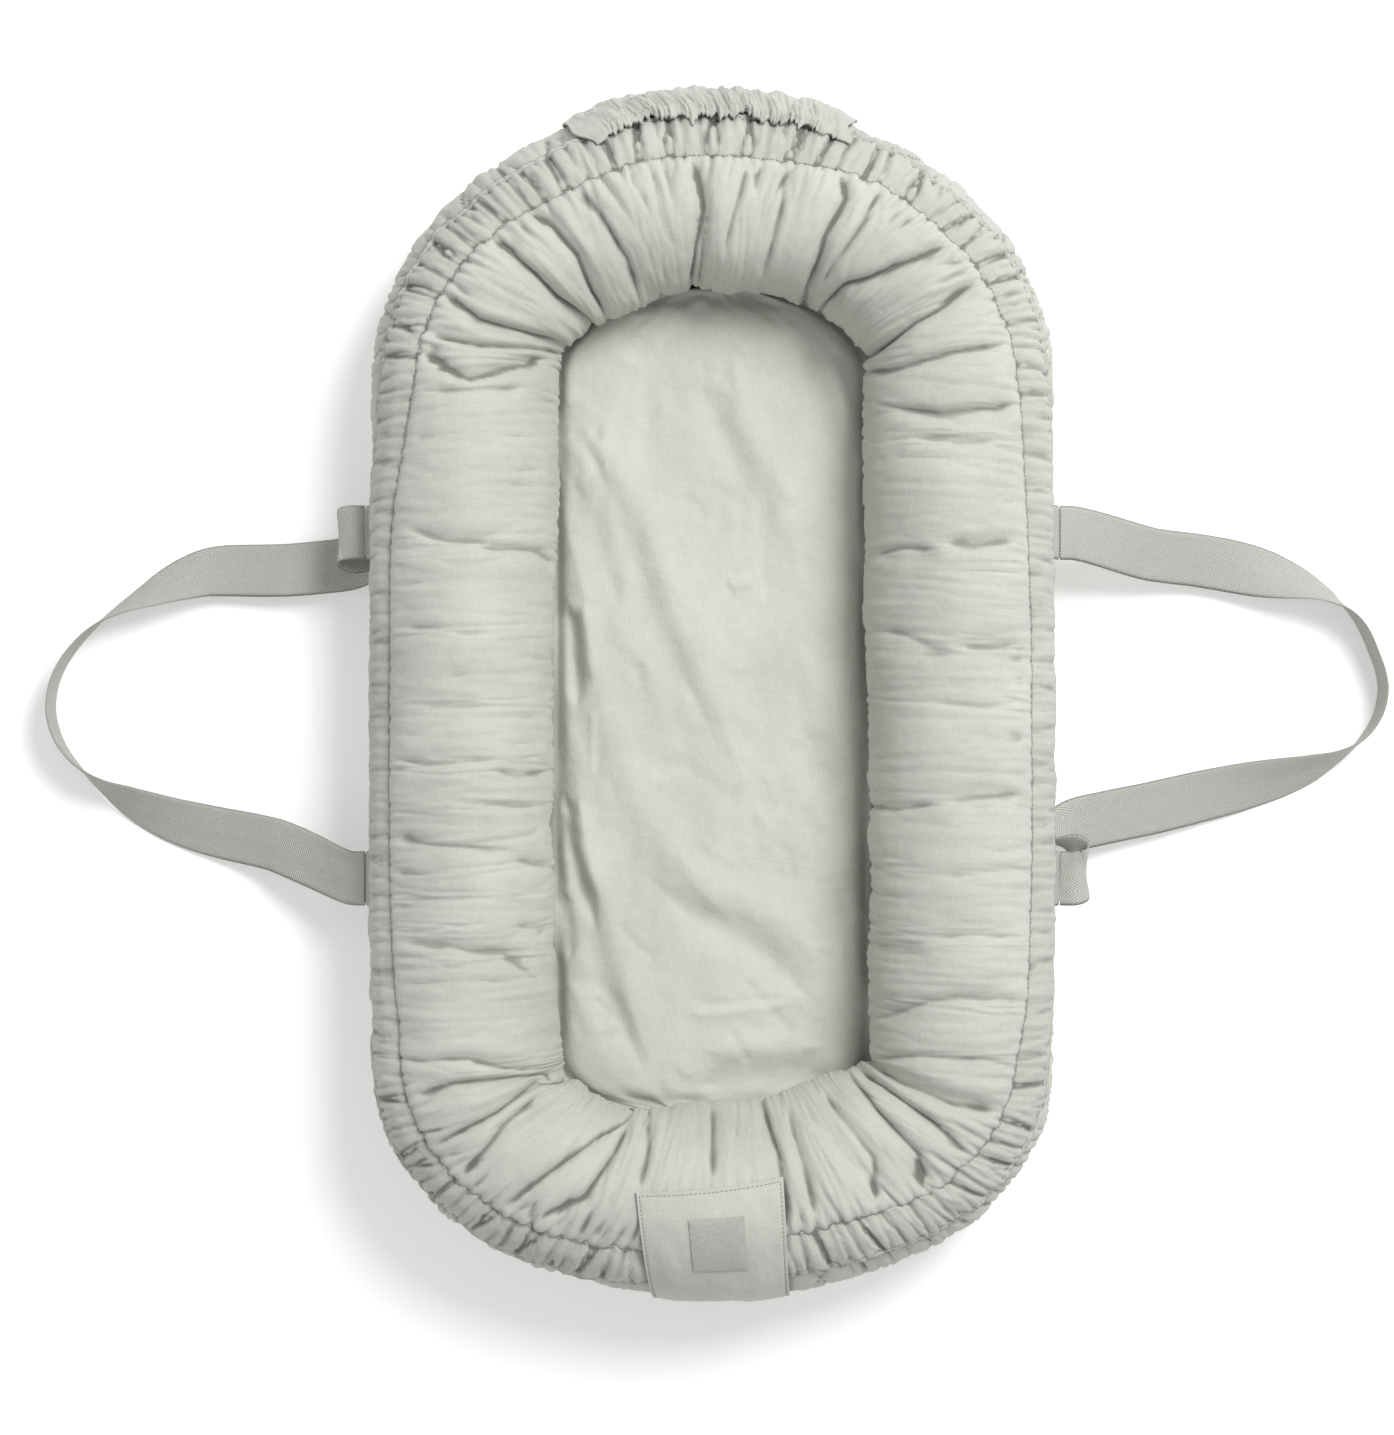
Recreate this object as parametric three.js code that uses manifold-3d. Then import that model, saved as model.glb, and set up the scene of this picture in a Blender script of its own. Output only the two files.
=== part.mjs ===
import * as THREE from 'three';
import Module from 'manifold-3d';
import { mergeVertices } from 'three/addons/utils/BufferGeometryUtils.js';

// An infant lounger: a stuffed bumper in a gathered cotton cover round a padded base, with two carrying
// straps, an elasticated flap at the head, and a drawstring with its lock at the foot.
// Lengths are in millimetres. The origin is at the middle of the underside, with +X right, +Y to the head
// and +Z up.

// Plan of the bumper's centreline
const ringHalfWidth = 175.6;
const headStart = 225;
const headDepth = 125.5;
const footStart = 252;
const footDepth = 101.5;
const footSquareness = 2.2;
// How much deeper and further the end curves get for each millimetre outwards
const headDepthShare = 1.12;
const headShiftShare = -0.06;
const footDepthShare = 1.015;

// Bumper section
const fillHalfWidth = 60;
const fillMiddle = 62;
const fillTop = 135;
const creaseDepth = 4;
const bulgeHeight = 2.6;
const innerSeamHeight = 28;

// Fabrics and clearances
const gap = 0.3;
const cloth = 1.5;
const baseThickness = 1.5;
const sheetThickness = 1.2;

// Drawstring and its casing
const cordRadius = 1.5;
const casingWall = 0.7;
const sideBandTopOut = 48;
const headBandTopOut = 28;
const footBandTopOut = 32;
const bandWidth = 32;

// Mattress pad
const padEdgeHeight = 24;
const padCrown = 4;
const padSpineInset = 38;

// Carrying straps
const strapWidth = 38;
const strapThickness = 1.8;
const strapReach = 229;
const rootSpacing = 242;
const rootMiddle = -6;
const rootDrop = 3.6;

// Head flap
const flapThickness = 1.2;
const hemHeight = 4.4;
const elasticRadius = 1;
const flapRuffle = 1.6;
const elasticShare = 0.75;

// Foot patch and label
const patchWidth = 103;
const patchThickness = 1.2;
const labelThickness = 0.8;

// Cord lock
const lockRadius = 6.2;
const lockMouth = 7;
const lockWall = 1.2;
const lockDrop = 10;
const lockTravel = 8;
const plungerRadius = 3.9;
const pressTravel = 2.5;
const cordSpacing = 3.6;
const springWire = 0.5;
const springTurns = 3;
const springPitch = 1;
const lockEdge = 1;
const knotRadius = 2.8;

const fillRise = fillTop - fillMiddle;
const floorLevel = baseThickness + gap;
const TAU = 2 * Math.PI;

const clamp = THREE.MathUtils.clamp;
const mix = THREE.MathUtils.lerp;
const smooth = (share) => THREE.MathUtils.smoothstep(share, 0, 1);

// Distances along the centreline, counter-clockwise from the middle of the foot
const quarterLength = (width, depth) => (Math.PI / 2) * Math.sqrt((width * width + depth * depth) / 2);
const footQuarter = quarterLength(ringHalfWidth, footDepth);
const headQuarter = quarterLength(ringHalfWidth, headDepth);
const sideLength = headStart + footStart;
const ringLength = 2 * (footQuarter + sideLength + headQuarter);
const rightTurn = footQuarter;
const headTurn = rightTurn + sideLength;
const leftTurn = headTurn + 2 * headQuarter;
const footTurn = leftTurn + sideLength;

// Where the main folds cross the bumper, as shares of each stretch, and how deep each one is
const footRightFoldShares = [[0.17, 0.3], [0.38, 0.8], [0.6, 1], [0.8, 1], [0.95, 0.6]];
const rightFoldShares = [[0.08, 0.8], [0.2, 0.6], [0.378, 0.5], [0.575, 0.3], [0.76, 0.6], [0.94, 0.8]];
const flapEdgeShares = [0.375, 0.636];
const headFoldShares = [
  [0.03, 0.6], [0.115, 1], [0.227, 1], [0.31, 0.8], [flapEdgeShares[0], 0.6], [0.45, 0.5], [0.52, 1],
  [0.58, 0.4], [flapEdgeShares[1], 0.6], [0.71, 1], [0.79, 1], [0.9, 1], [0.97, 0.6],
];
const leftFoldShares = [[0.05, 0.9], [0.245, 0.6], [0.378, 0.4], [0.57, 0.6], [0.7, 0.6], [0.84, 0.7]];
const footLeftFoldShares = [[0.05, 1], [0.22, 1], [0.42, 0.8], [0.62, 1], [0.83, 0.3]];
const plainFootShare = 0.085;

function foldPlaces() {
  const places = [];
  const add = (start, length, table) => {
    for (const [share, depth] of table) places.push({ turn: start + share * length, depth });
  };
  add(0, footQuarter, footRightFoldShares);
  add(rightTurn, sideLength, rightFoldShares);
  add(headTurn, 2 * headQuarter, headFoldShares);
  add(leftTurn, sideLength, leftFoldShares);
  add(footTurn, footQuarter, footLeftFoldShares);
  return places;
}

// Stations round the ring: one in each fold and one on each bulge between two folds, and plain ones under
// the foot patch. puff is how far the fabric stands out there.
function ringStations() {
  const folds = foldPlaces();
  const stations = [{ turn: 0, puff: 0 }, { turn: plainFootShare * footQuarter, puff: 0 }];
  folds.forEach((fold, i) => {
    stations.push({ turn: fold.turn, puff: -creaseDepth * fold.depth });
    const next = folds[i + 1];
    if (!next) return;
    const depth = (fold.depth + next.depth) / 2;
    stations.push({ turn: (fold.turn + next.turn) / 2, puff: bulgeHeight * depth });
  });
  stations.push({ turn: ringLength - plainFootShare * footQuarter, puff: 0 });
  return stations;
}

// A place in plan at a distance along the centreline and a distance out from it
function ringPlace(turn, out) {
  const t = ((turn % ringLength) + ringLength) % ringLength;
  const width = ringHalfWidth + out;
  const headY = headStart + headShiftShare * out;
  const headB = headDepth + headDepthShare * out;
  const footB = footDepth + footDepthShare * out;
  const onFoot = (angle) => {
    const power = 2 / footSquareness;
    const x = Math.sign(Math.cos(angle)) * Math.abs(Math.cos(angle)) ** power;
    return [width * x, -footStart - footB * Math.abs(Math.sin(angle)) ** power];
  };
  if (t < rightTurn) return onFoot((Math.PI / 2) * (t / footQuarter - 1));
  if (t < headTurn) return [width, mix(-footStart, headY, (t - rightTurn) / sideLength)];
  if (t < leftTurn) {
    const angle = (Math.PI * (t - headTurn)) / (2 * headQuarter);
    return [width * Math.cos(angle), headY + headB * Math.sin(angle)];
  }
  if (t < footTurn) return [-width, mix(headY, -footStart, (t - leftTurn) / sideLength)];
  return onFoot(Math.PI + (Math.PI / 2) * ((t - footTurn) / footQuarter));
}

// 0 along the sides and 1 well into the head's or foot's curve
function endShare(turn, start, length) {
  return smooth(1 - clamp(Math.abs(turn - start) / length, 0, 1));
}

// How far out the casing's upper seam lies, at a distance along the centreline
function bandTopOut(turn) {
  const head = endShare(turn, headTurn + headQuarter, headQuarter);
  const foot = Math.max(endShare(turn, 0, footQuarter), endShare(turn, ringLength, footQuarter));
  const toHead = mix(sideBandTopOut, headBandTopOut, clamp(2 * head, 0, 1));
  return mix(toHead, footBandTopOut, clamp(2 * foot, 0, 1));
}

// Section angles, from the floor on the outside (below 0), over the top (90 degrees) to the floor inside
const floorAngle = Math.asin((fillMiddle - floorLevel) / fillRise);
const innerSeamAngle = Math.PI + Math.asin((fillMiddle - innerSeamHeight) / fillRise);
const bandAngle = bandWidth / fillHalfWidth;
const gapAngle = gap / fillHalfWidth;
const casingShares = [1, 0.56, 0.44, 0.22, 0];
const topSteps = 7;

// Places in the list of section angles, from the floor on the outside to the foot patch's upper edge
const namedPlaces = 11;
const [
  FLOOR_OUT, FLAP_FOOT, PATCH_FOOT, WALL_TOP, BAND_LOW, LIP, BACK, CORD, BAND_TOP, PATCH_TURN, PATCH_HEAD,
] = Array(namedPlaces).keys();
const INNER_SEAM = BAND_TOP + topSteps;

function sectionAngles(turn) {
  const top = Math.acos(bandTopOut(turn) / (fillHalfWidth + cloth));
  const low = top - bandAngle;
  const angles = [];
  for (let i = 0; i < BAND_LOW; i++) angles.push(mix(-floorAngle, low, i / BAND_LOW));
  for (const share of casingShares) angles.push(mix(top, low, share));
  for (let i = 1; i <= topSteps; i++) angles.push(mix(top, innerSeamAngle, i / topSteps));
  angles.push(Math.PI + floorAngle);
  return angles;
}

const stations = ringStations().map((s) => ({ ...s, angles: sectionAngles(s.turn) }));

// The fabric's standing out fades to nothing where the bumper meets the floor
function puffAt(station, angle) {
  const share = (angle + floorAngle) / (Math.PI + 2 * floorAngle);
  return station.puff * Math.sqrt(Math.max(0, Math.sin(Math.PI * clamp(share, 0, 1))));
}

// A point over the bumper: lift is the height over the filling's surface
function overBumper(station, angle, lift) {
  const rise = lift + puffAt(station, angle);
  const [x, y] = ringPlace(station.turn, (fillHalfWidth + rise) * Math.cos(angle));
  return new THREE.Vector3(x, y, fillMiddle + (fillRise + rise) * Math.sin(angle));
}

const at = (station, place, lift) => overBumper(station, station.angles[place], lift);

// Solids
function solid(points, triangles) {
  let volume = 0;
  for (const [a, b, c] of triangles) {
    volume += points[a].dot(new THREE.Vector3().crossVectors(points[b], points[c]));
  }
  const index = triangles.flatMap(([a, b, c]) => (volume > 0 ? [a, b, c] : [a, c, b]));
  const geometry = new THREE.BufferGeometry();
  const coordinates = points.flatMap((p) => p.toArray());
  geometry.setAttribute('position', new THREE.Float32BufferAttribute(coordinates, 3));
  geometry.setIndex(index);
  const flat = geometry.toNonIndexed();
  flat.computeVertexNormals();
  return flat;
}

// Joins rings of points side by side; each ring is a closed loop
function walls(rings, offset, closed, triangles) {
  const size = rings[0].length;
  const last = closed ? rings.length : rings.length - 1;
  for (let i = 0; i < last; i++) {
    const here = offset + i * size;
    const next = offset + ((i + 1) % rings.length) * size;
    for (let j = 0; j < size; j++) {
      const k = (j + 1) % size;
      triangles.push([here + j, next + j, next + k], [here + j, next + k, here + k]);
    }
  }
}

function hoop(rings) {
  const triangles = [];
  walls(rings, 0, true, triangles);
  return solid(rings.flat(), triangles);
}

// Corners of a flat or nearly flat loop, in its own plane, for filling it with triangles
function flatten(loop, frame) {
  return loop.map((p) => {
    const local = p.clone().sub(frame.origin);
    return new THREE.Vector2(local.dot(frame.u), local.dot(frame.v));
  });
}

function loopFrame(loop) {
  const origin = loop.reduce((sum, p) => sum.add(p), new THREE.Vector3()).divideScalar(loop.length);
  const normal = new THREE.Vector3();
  loop.forEach((p, i) => {
    const q = loop[(i + 1) % loop.length];
    normal.add(new THREE.Vector3().crossVectors(p.clone().sub(origin), q.clone().sub(origin)));
  });
  normal.normalize();
  const u = loop[0].clone().sub(origin);
  u.addScaledVector(normal, -u.dot(normal)).normalize();
  return { origin, u, v: new THREE.Vector3().crossVectors(normal, u) };
}

function rail(rings, bores) {
  const size = rings[0].length;
  const boreSize = bores ? bores[0].length : 0;
  const boreStart = rings.length * size;
  const triangles = [];
  walls(rings, 0, false, triangles);
  const boreTriangles = [];
  if (bores) walls(bores, boreStart, false, boreTriangles);
  triangles.push(...boreTriangles.map(([a, b, c]) => [a, c, b]));
  for (const end of [0, rings.length - 1]) {
    const frame = loopFrame(rings[end]);
    const hole = bores ? flatten(bores[end], frame) : [];
    const faces = THREE.ShapeUtils.triangulateShape(flatten(rings[end], frame), bores ? [hole] : []);
    const name = (i) => (i < size ? end * size + i : boreStart + end * boreSize + (i - size));
    for (const face of faces) {
      const [a, b, c] = face.map(name);
      triangles.push(end === 0 ? [a, c, b] : [a, b, c]);
    }
  }
  return solid([...rings.flat(), ...(bores ? bores.flat() : [])], orient(triangles));
}

// Turns each triangle so that neighbours agree, starting from the first
function orient(triangles) {
  const edges = new Map();
  const key = (a, b) => (a < b ? `${a}_${b}` : `${b}_${a}`);
  triangles.forEach((t, i) => {
    for (let j = 0; j < 3; j++) {
      const name = key(t[j], t[(j + 1) % 3]);
      if (!edges.has(name)) edges.set(name, []);
      edges.get(name).push(i);
    }
  });
  const done = new Array(triangles.length).fill(false);
  const queue = [0];
  done[0] = true;
  while (queue.length) {
    const i = queue.pop();
    const t = triangles[i];
    for (let j = 0; j < 3; j++) {
      const [a, b] = [t[j], t[(j + 1) % 3]];
      for (const k of edges.get(key(a, b))) {
        if (done[k]) continue;
        const other = triangles[k];
        const same = other.some((v, n) => v === a && other[(n + 1) % 3] === b);
        if (same) triangles[k] = [other[0], other[2], other[1]];
        done[k] = true;
        queue.push(k);
      }
    }
  }
  return triangles;
}

// A thin piece between two matching grids of points
function sheet(back, front) {
  const rings = back.map((row, i) => [...row, ...front[i].slice().reverse()]);
  return rail(rings);
}

// A flat-lying body built from rings in plan, with its first and last rings filled
function stack(rings) {
  return rail(rings);
}

async function loadManifold() {
  const wasm = await Module();
  wasm.setup();
  return wasm;
}

const wasm = await loadManifold();

function toManifold(geometry) {
  const bare = geometry.clone();
  bare.deleteAttribute('normal');
  bare.deleteAttribute('uv');
  const merged = mergeVertices(bare);
  const vertProperties = new Float32Array(merged.attributes.position.array);
  const triVerts = new Uint32Array(merged.index.array);
  return new wasm.Manifold(new wasm.Mesh({ numProp: 3, vertProperties, triVerts }));
}

function fromManifold(body) {
  const mesh = body.getMesh();
  const geometry = new THREE.BufferGeometry();
  geometry.setAttribute('position', new THREE.Float32BufferAttribute(mesh.vertProperties, 3));
  geometry.setIndex(Array.from(mesh.triVerts));
  const flat = geometry.toNonIndexed();
  flat.computeVertexNormals();
  return flat;
}

const cut = (body, tool) => fromManifold(toManifold(body).subtract(toManifold(tool)));

// Layers over the filling: the heights of their faces
const skinBack = gap;
const skinFace = skinBack + cloth;
const boreRadius = cordRadius + gap;
const boreLift = skinBack + casingWall + boreRadius;
const casingCrown = boreLift + boreRadius + casingWall;
const lipBack = skinFace + gap + strapThickness + gap;
const lipFace = lipBack + cloth;
const crownFace = Math.max(casingCrown, lipFace);

// Filling, covers and base
function makeFilling() {
  return hoop(stations.map((s) => s.angles.map((angle) => overBumper(s, angle, 0))));
}

function shellRings(list, first, last, back, face) {
  return list.map((s) => {
    const inner = [];
    const outer = [];
    for (let i = first; i <= last; i++) {
      inner.push(at(s, i, back));
      outer.push(at(s, i, face));
    }
    return [...inner, ...outer.reverse()];
  });
}

const makeCover = () => hoop(shellRings(stations, BAND_TOP, INNER_SEAM, skinBack, skinFace));
const makeOuterBand = () => hoop(shellRings(stations, FLOOR_OUT, LIP, skinBack, skinFace));

// The flat pieces follow the ring's own stations, so that they run parallel to the bumper
function planRing(out, height) {
  return stations.map((s) => {
    const [x, y] = ringPlace(s.turn, out);
    return new THREE.Vector3(x, y, height);
  });
}

const bandFootOut = (fillHalfWidth + skinBack) * Math.cos(floorAngle);

function makeBasePanel() {
  const edge = bandFootOut - 2 * gap;
  return stack([planRing(edge, 0), planRing(edge, baseThickness)]);
}

const fillInnerOut = (height) => -fillHalfWidth * Math.cos(Math.asin((height - fillMiddle) / fillRise));

// Draws a ring in towards the middle line of the well
function drawnIn(ring, share, raise) {
  return ring.map((p) => {
    const spineY = clamp(p.y, -footStart + padSpineInset, headStart - padSpineInset);
    const x = mix(p.x, 0, share);
    const y = mix(p.y, spineY, share);
    return new THREE.Vector3(x, y, p.z + raise(x, y, share));
  });
}

const padRoom = cloth + gap;
const wellShares = [0, 0.12, 0.3, 0.58, 0.86];
const crownShare = 0.45;
const foldEdgeShare = 0.25;
const seamOut = (fillHalfWidth + skinFace) * Math.cos(innerSeamAngle) - 2 * gap;

const crownRise = (x, y, share) => padCrown * smooth(clamp(share / crownShare, 0, 1));

function wellRings(height, rise) {
  const edge = planRing(seamOut, height);
  return wellShares.map((share) => drawnIn(edge, share, rise));
}

function makeMattressPad() {
  const low = planRing(fillInnerOut(padEdgeHeight / 2) - padRoom, floorLevel);
  return stack([low, ...wellRings(padEdgeHeight, crownRise)]);
}

// Broad soft folds of the base sheet: each runs between two places given as shares of the well's half
// width and half length from its middle, and the last share is how high it is
const foldHeight = 3.2;
const foldWidth = 17;
const sheetFoldShares = [
  [-0.96, 0.72, -0.35, -0.05, 1],
  [-0.3, 0.1, 0.25, -0.75, 0.9],
  [-0.9, -0.45, -0.35, -0.95, 1],
  [0.1, 0.6, 0.7, -0.35, 0.6],
];
const wellHalfWidth = ringPlace(rightTurn, seamOut)[0];
const wellHeadY = ringPlace(headTurn + headQuarter, seamOut)[1];
const wellFootY = ringPlace(0, seamOut)[1];
const wellMiddleY = (wellHeadY + wellFootY) / 2;
const wellHalfLength = (wellHeadY - wellFootY) / 2;

function sheetFold(x, y) {
  let height = 0;
  for (const [x0, y0, x1, y1, share] of sheetFoldShares) {
    const a = new THREE.Vector2(x0 * wellHalfWidth, wellMiddleY + y0 * wellHalfLength);
    const b = new THREE.Vector2(x1 * wellHalfWidth, wellMiddleY + y1 * wellHalfLength);
    const run = b.clone().sub(a);
    const p = new THREE.Vector2(x, y).sub(a);
    const along = clamp(p.dot(run) / run.lengthSq(), 0, 1);
    const off = p.sub(run.multiplyScalar(along)).length() / foldWidth;
    height += share * foldHeight * Math.exp(-off * off);
  }
  return height;
}

function makeBaseSheet() {
  const rise = (x, y, share) => {
    const fold = sheetFold(x, y) * smooth(clamp(share / foldEdgeShare, 0, 1));
    return crownRise(x, y, share) + fold;
  };
  const under = wellRings(padEdgeHeight + gap, rise);
  const over = wellRings(padEdgeHeight + gap + sheetThickness, rise);
  return stack([...under.reverse(), ...over]);
}

// Drawstring casing: a sleeve with its upper edge on the cover and its lip standing over the outer band
const casingStations = stations.slice(1);

function makeCasing() {
  const rings = casingStations.map((s) => [
    overBumper(s, s.angles[BAND_TOP] - gapAngle, skinBack),
    overBumper(s, s.angles[BAND_TOP] - gapAngle, skinFace),
    at(s, CORD, casingCrown),
    at(s, BACK, crownFace),
    at(s, LIP, crownFace),
    at(s, BAND_LOW, lipFace),
    at(s, BAND_LOW, lipBack),
    at(s, LIP, lipBack),
    at(s, BACK, skinBack),
    at(s, CORD, skinBack),
  ]);
  return rail(rings, tubeRings(casingLines(), () => boreRadius, cordSides));
}

function casingLines() {
  return casingStations.map((s) => ({
    centre: at(s, CORD, boreLift),
    normal: outward(s, s.angles[CORD]),
  }));
}

function outward(station, angle) {
  const here = overBumper(station, angle, 0);
  return overBumper(station, angle, cloth).sub(here).normalize();
}

const cordSides = 8;

// Rings of a tube through places that each know which way is outward
function tubeRings(lines, radius, sides) {
  return lines.map((line, i) => {
    const before = lines[Math.max(0, i - 1)].centre;
    const after = lines[Math.min(lines.length - 1, i + 1)].centre;
    const along = after.clone().sub(before).normalize();
    const normal = line.normal.clone().addScaledVector(along, -line.normal.dot(along)).normalize();
    const side = new THREE.Vector3().crossVectors(along, normal);
    const r = radius(i);
    return Array.from({ length: sides }, (_, k) => {
      const angle = (TAU * k) / sides;
      const p = line.centre.clone().addScaledVector(normal, r * Math.cos(angle));
      return p.addScaledVector(side, r * Math.sin(angle));
    });
  });
}

// Drawstring: round the casing, then both ends down behind the foot patch, through the lock to their knots
const tailOut = fillHalfWidth + skinFace + lockRadius - 2 * cordRadius - gap;
const tailY = ringPlace(0, tailOut)[1];
const lockHeight = overFoot(0, PATCH_FOOT, patchLift(PATCH_FOOT)).z - lockDrop;
const knotTop = lockHeight - lockRadius - lockTravel - gap;
const tailEnd = knotTop - 2 * knotRadius;
const tailSpreadShare = 2.6;

function tailLine(sign) {
  const x = (sign * cordSpacing) / 2;
  const clearLift = skinFace + gap + cordRadius;
  const normal = new THREE.Vector3(0, -1, 0);
  const over = (place, lift, spread) => ({ centre: overFoot(x * spread, place, lift), normal });
  const hang = (z) => ({ centre: new THREE.Vector3(x, tailY, z), normal });
  return [
    over(BACK, boreLift, tailSpreadShare),
    over(LIP, clearLift, 1),
    ...[BAND_LOW, WALL_TOP, PATCH_FOOT].map((place) => over(place, clearLift, 1)),
    ...[lockHeight + lockRadius, knotTop, knotTop - knotRadius, tailEnd].map(hang),
  ];
}

function makeDrawstring() {
  const right = tailLine(1).reverse();
  const left = tailLine(-1);
  const lines = [...right, ...casingLines(), ...left];
  const knots = new Set([1, lines.length - 2]);
  return rail(tubeRings(lines, (i) => (knots.has(i) ? knotRadius : cordRadius), cordSides));
}

// Foot patch: over the bumper's top and down its outer face, standing clear of the casing. Its columns are
// straight lines in plan, at these shares of half its width.
const patchColumnShares = [-1, -2 / 3, -1 / 3, 0, 1 / 3, 2 / 3, 1];
const patchPlaces = [
  PATCH_FOOT, WALL_TOP, BAND_LOW, LIP, BACK, CORD, BAND_TOP, PATCH_TURN, PATCH_HEAD,
];

function patchLift(place) {
  if (place <= CORD) return crownFace + gap;
  return skinFace + gap;
}

// The distance along the centreline at which the foot's curve has this x, at a distance out
function footTurnAt(x, out) {
  const cosine = Math.abs(x / (ringHalfWidth + out)) ** (footSquareness / 2);
  return Math.sign(x) * footQuarter * (1 - Math.acos(cosine) / (Math.PI / 2));
}

function overFoot(x, place, lift) {
  const angle = stations[0].angles[place];
  const turn = footTurnAt(x, (fillHalfWidth + lift) * Math.cos(angle));
  return overBumper({ turn, puff: 0 }, angle, lift);
}

function patchGrid(extra) {
  return patchColumnShares.map((share) => {
    const x = (share * patchWidth) / 2;
    return patchPlaces.map((place) => overFoot(x, place, patchLift(place) + extra));
  });
}

const makeFootPatch = () => sheet(patchGrid(0), patchGrid(patchThickness));

// Label: its points as shares of the patch's own grid, along its columns and along its rows
const labelColumnShares = [0.355, 1 / 2, 2 / 3, 0.743];
const labelRowShares = [1 / 2, 5 / 8, 3 / 4, 7 / 8, 0.969];

function gridPoint(grid, columnShare, rowShare) {
  const column = columnShare * (grid.length - 1);
  const row = rowShare * (grid[0].length - 1);
  const i = Math.min(Math.floor(column), grid.length - 2);
  const j = Math.min(Math.floor(row), grid[0].length - 2);
  const low = grid[i][j].clone().lerp(grid[i + 1][j], column - i);
  const high = grid[i][j + 1].clone().lerp(grid[i + 1][j + 1], column - i);
  return low.lerp(high, row - j);
}

function makeLabel() {
  const face = (extra) => {
    const grid = patchGrid(patchThickness + extra);
    return labelColumnShares.map((c) => labelRowShares.map((r) => gridPoint(grid, c, r)));
  };
  return sheet(face(gap), face(gap + labelThickness));
}

// Head flap: a gathered pocket front over the casing, with a hem that holds the elastic
const flapTurns = flapEdgeShares.map((share) => headTurn + share * 2 * headQuarter);
const flapStations = stations.filter((s) => s.turn > flapTurns[0] - gap && s.turn < flapTurns[1] + gap);
const flapBack = crownFace + gap;
const hemBore = flapBack + hemHeight / 2;
const hemTopShare = 0.5;

function hemPoint(s, share, lift) {
  return overBumper(s, mix(s.angles[BAND_LOW], s.angles[LIP], share), lift);
}

function flapLift(s, place) {
  const share = clamp((place - FLAP_FOOT) / (WALL_TOP - FLAP_FOOT), 0, 1);
  const ruffle = s.puff < 0 ? 0 : flapRuffle;
  return mix(skinFace + 2 * gap, flapBack + ruffle, smooth(share));
}

function makeHeadFlap() {
  const rings = flapStations.map((s) => {
    const back = [];
    const front = [];
    for (let place = FLAP_FOOT; place < BAND_LOW; place++) {
      const rise = place === WALL_TOP ? flapBack : flapLift(s, place);
      back.push(at(s, place, rise));
      front.push(at(s, place, flapLift(s, place) + flapThickness));
    }
    back.push(at(s, BAND_LOW, flapBack), at(s, LIP, flapBack));
    front.push(hemPoint(s, 1 - 2 * hemTopShare, flapBack + flapThickness));
    front.push(hemPoint(s, hemTopShare, flapBack + hemHeight), at(s, LIP, flapBack + hemHeight));
    return [...back, ...front.reverse()];
  });
  return rail(rings, tubeRings(elasticLines(), () => elasticRadius + gap, cordSides));
}

function elasticLines() {
  return flapStations.map((s) => ({
    centre: hemPoint(s, elasticShare, hemBore),
    normal: outward(s, s.angles[LIP]),
  }));
}

const makeFlapElastic = () => rail(tubeRings(elasticLines(), () => elasticRadius, cordSides));

// Carrying straps. Each row: how far out, how far along and how high the strap's middle is, as shares of
// the strap's reach, half the root spacing and the root's height, and its turn from lying to standing
const leftStrapShares = [
  [0, 1, 1, 0], [0.05, 1, 0.88, 0], [0.15, 0.92, 0.62, 0], [0.27, 0.81, 0.35, 0.05], [0.4, 0.8, 0.16, 0.1],
  [0.52, 0.79, 0.14, 0.2], [0.68, 0.67, 0.2, 0.6], [0.83, 0.52, 0.24, 0.95], [0.93, 0.34, 0.24, 1],
  [0.985, 0.16, 0.24, 1], [1, -0.04, 0.24, 1], [0.965, -0.24, 0.24, 1], [0.88, -0.42, 0.24, 0.92],
  [0.77, -0.55, 0.22, 0.6], [0.62, -0.68, 0.16, 0.3], [0.46, -0.76, 0.16, 0.12], [0.3, -0.82, 0.34, 0.05],
  [0.15, -0.93, 0.62, 0], [0.05, -1, 0.88, 0], [0, -1, 1, 0],
];
const rightStrapShares = [
  [0, 1, 1, 0], [0.05, 1, 0.88, 0], [0.15, 0.96, 0.7, 0], [0.3, 0.89, 0.42, 0.03], [0.45, 0.86, 0.2, 0.08],
  [0.6, 0.81, 0.14, 0.2], [0.74, 0.74, 0.18, 0.45], [0.87, 0.64, 0.23, 0.85], [0.95, 0.51, 0.24, 1],
  [1, 0.32, 0.24, 1], [1.03, 0.12, 0.24, 1], [1.01, -0.07, 0.24, 1], [0.94, -0.24, 0.24, 0.95],
  [0.82, -0.36, 0.22, 0.65], [0.64, -0.46, 0.16, 0.3], [0.46, -0.54, 0.16, 0.12], [0.3, -0.64, 0.36, 0.05],
  [0.16, -0.84, 0.62, 0], [0.05, -1, 0.88, 0], [0, -1, 1, 0],
];

function rootStations(sign) {
  const placed = stations.map((s) => {
    const [x, y] = ringPlace(s.turn, fillHalfWidth);
    return { ...s, x, y };
  });
  const reach = rootSpacing / 2 + 2 * strapWidth;
  return placed.filter((s) => sign * s.x > ringHalfWidth && Math.abs(s.y - rootMiddle) < reach);
}

function lipExtremes(sign) {
  const lips = rootStations(sign).map((s) => at(s, BAND_LOW, lipFace));
  return {
    out: Math.max(...lips.map((p) => sign * p.x)),
    low: Math.min(...lips.map((p) => p.z)),
  };
}

// The strap bends about a line just outside and below the casing's lip
function hinge(sign) {
  const lip = lipExtremes(sign);
  return { out: lip.out + gap + strapThickness / 2, height: lip.low - rootDrop - strapThickness };
}

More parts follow.
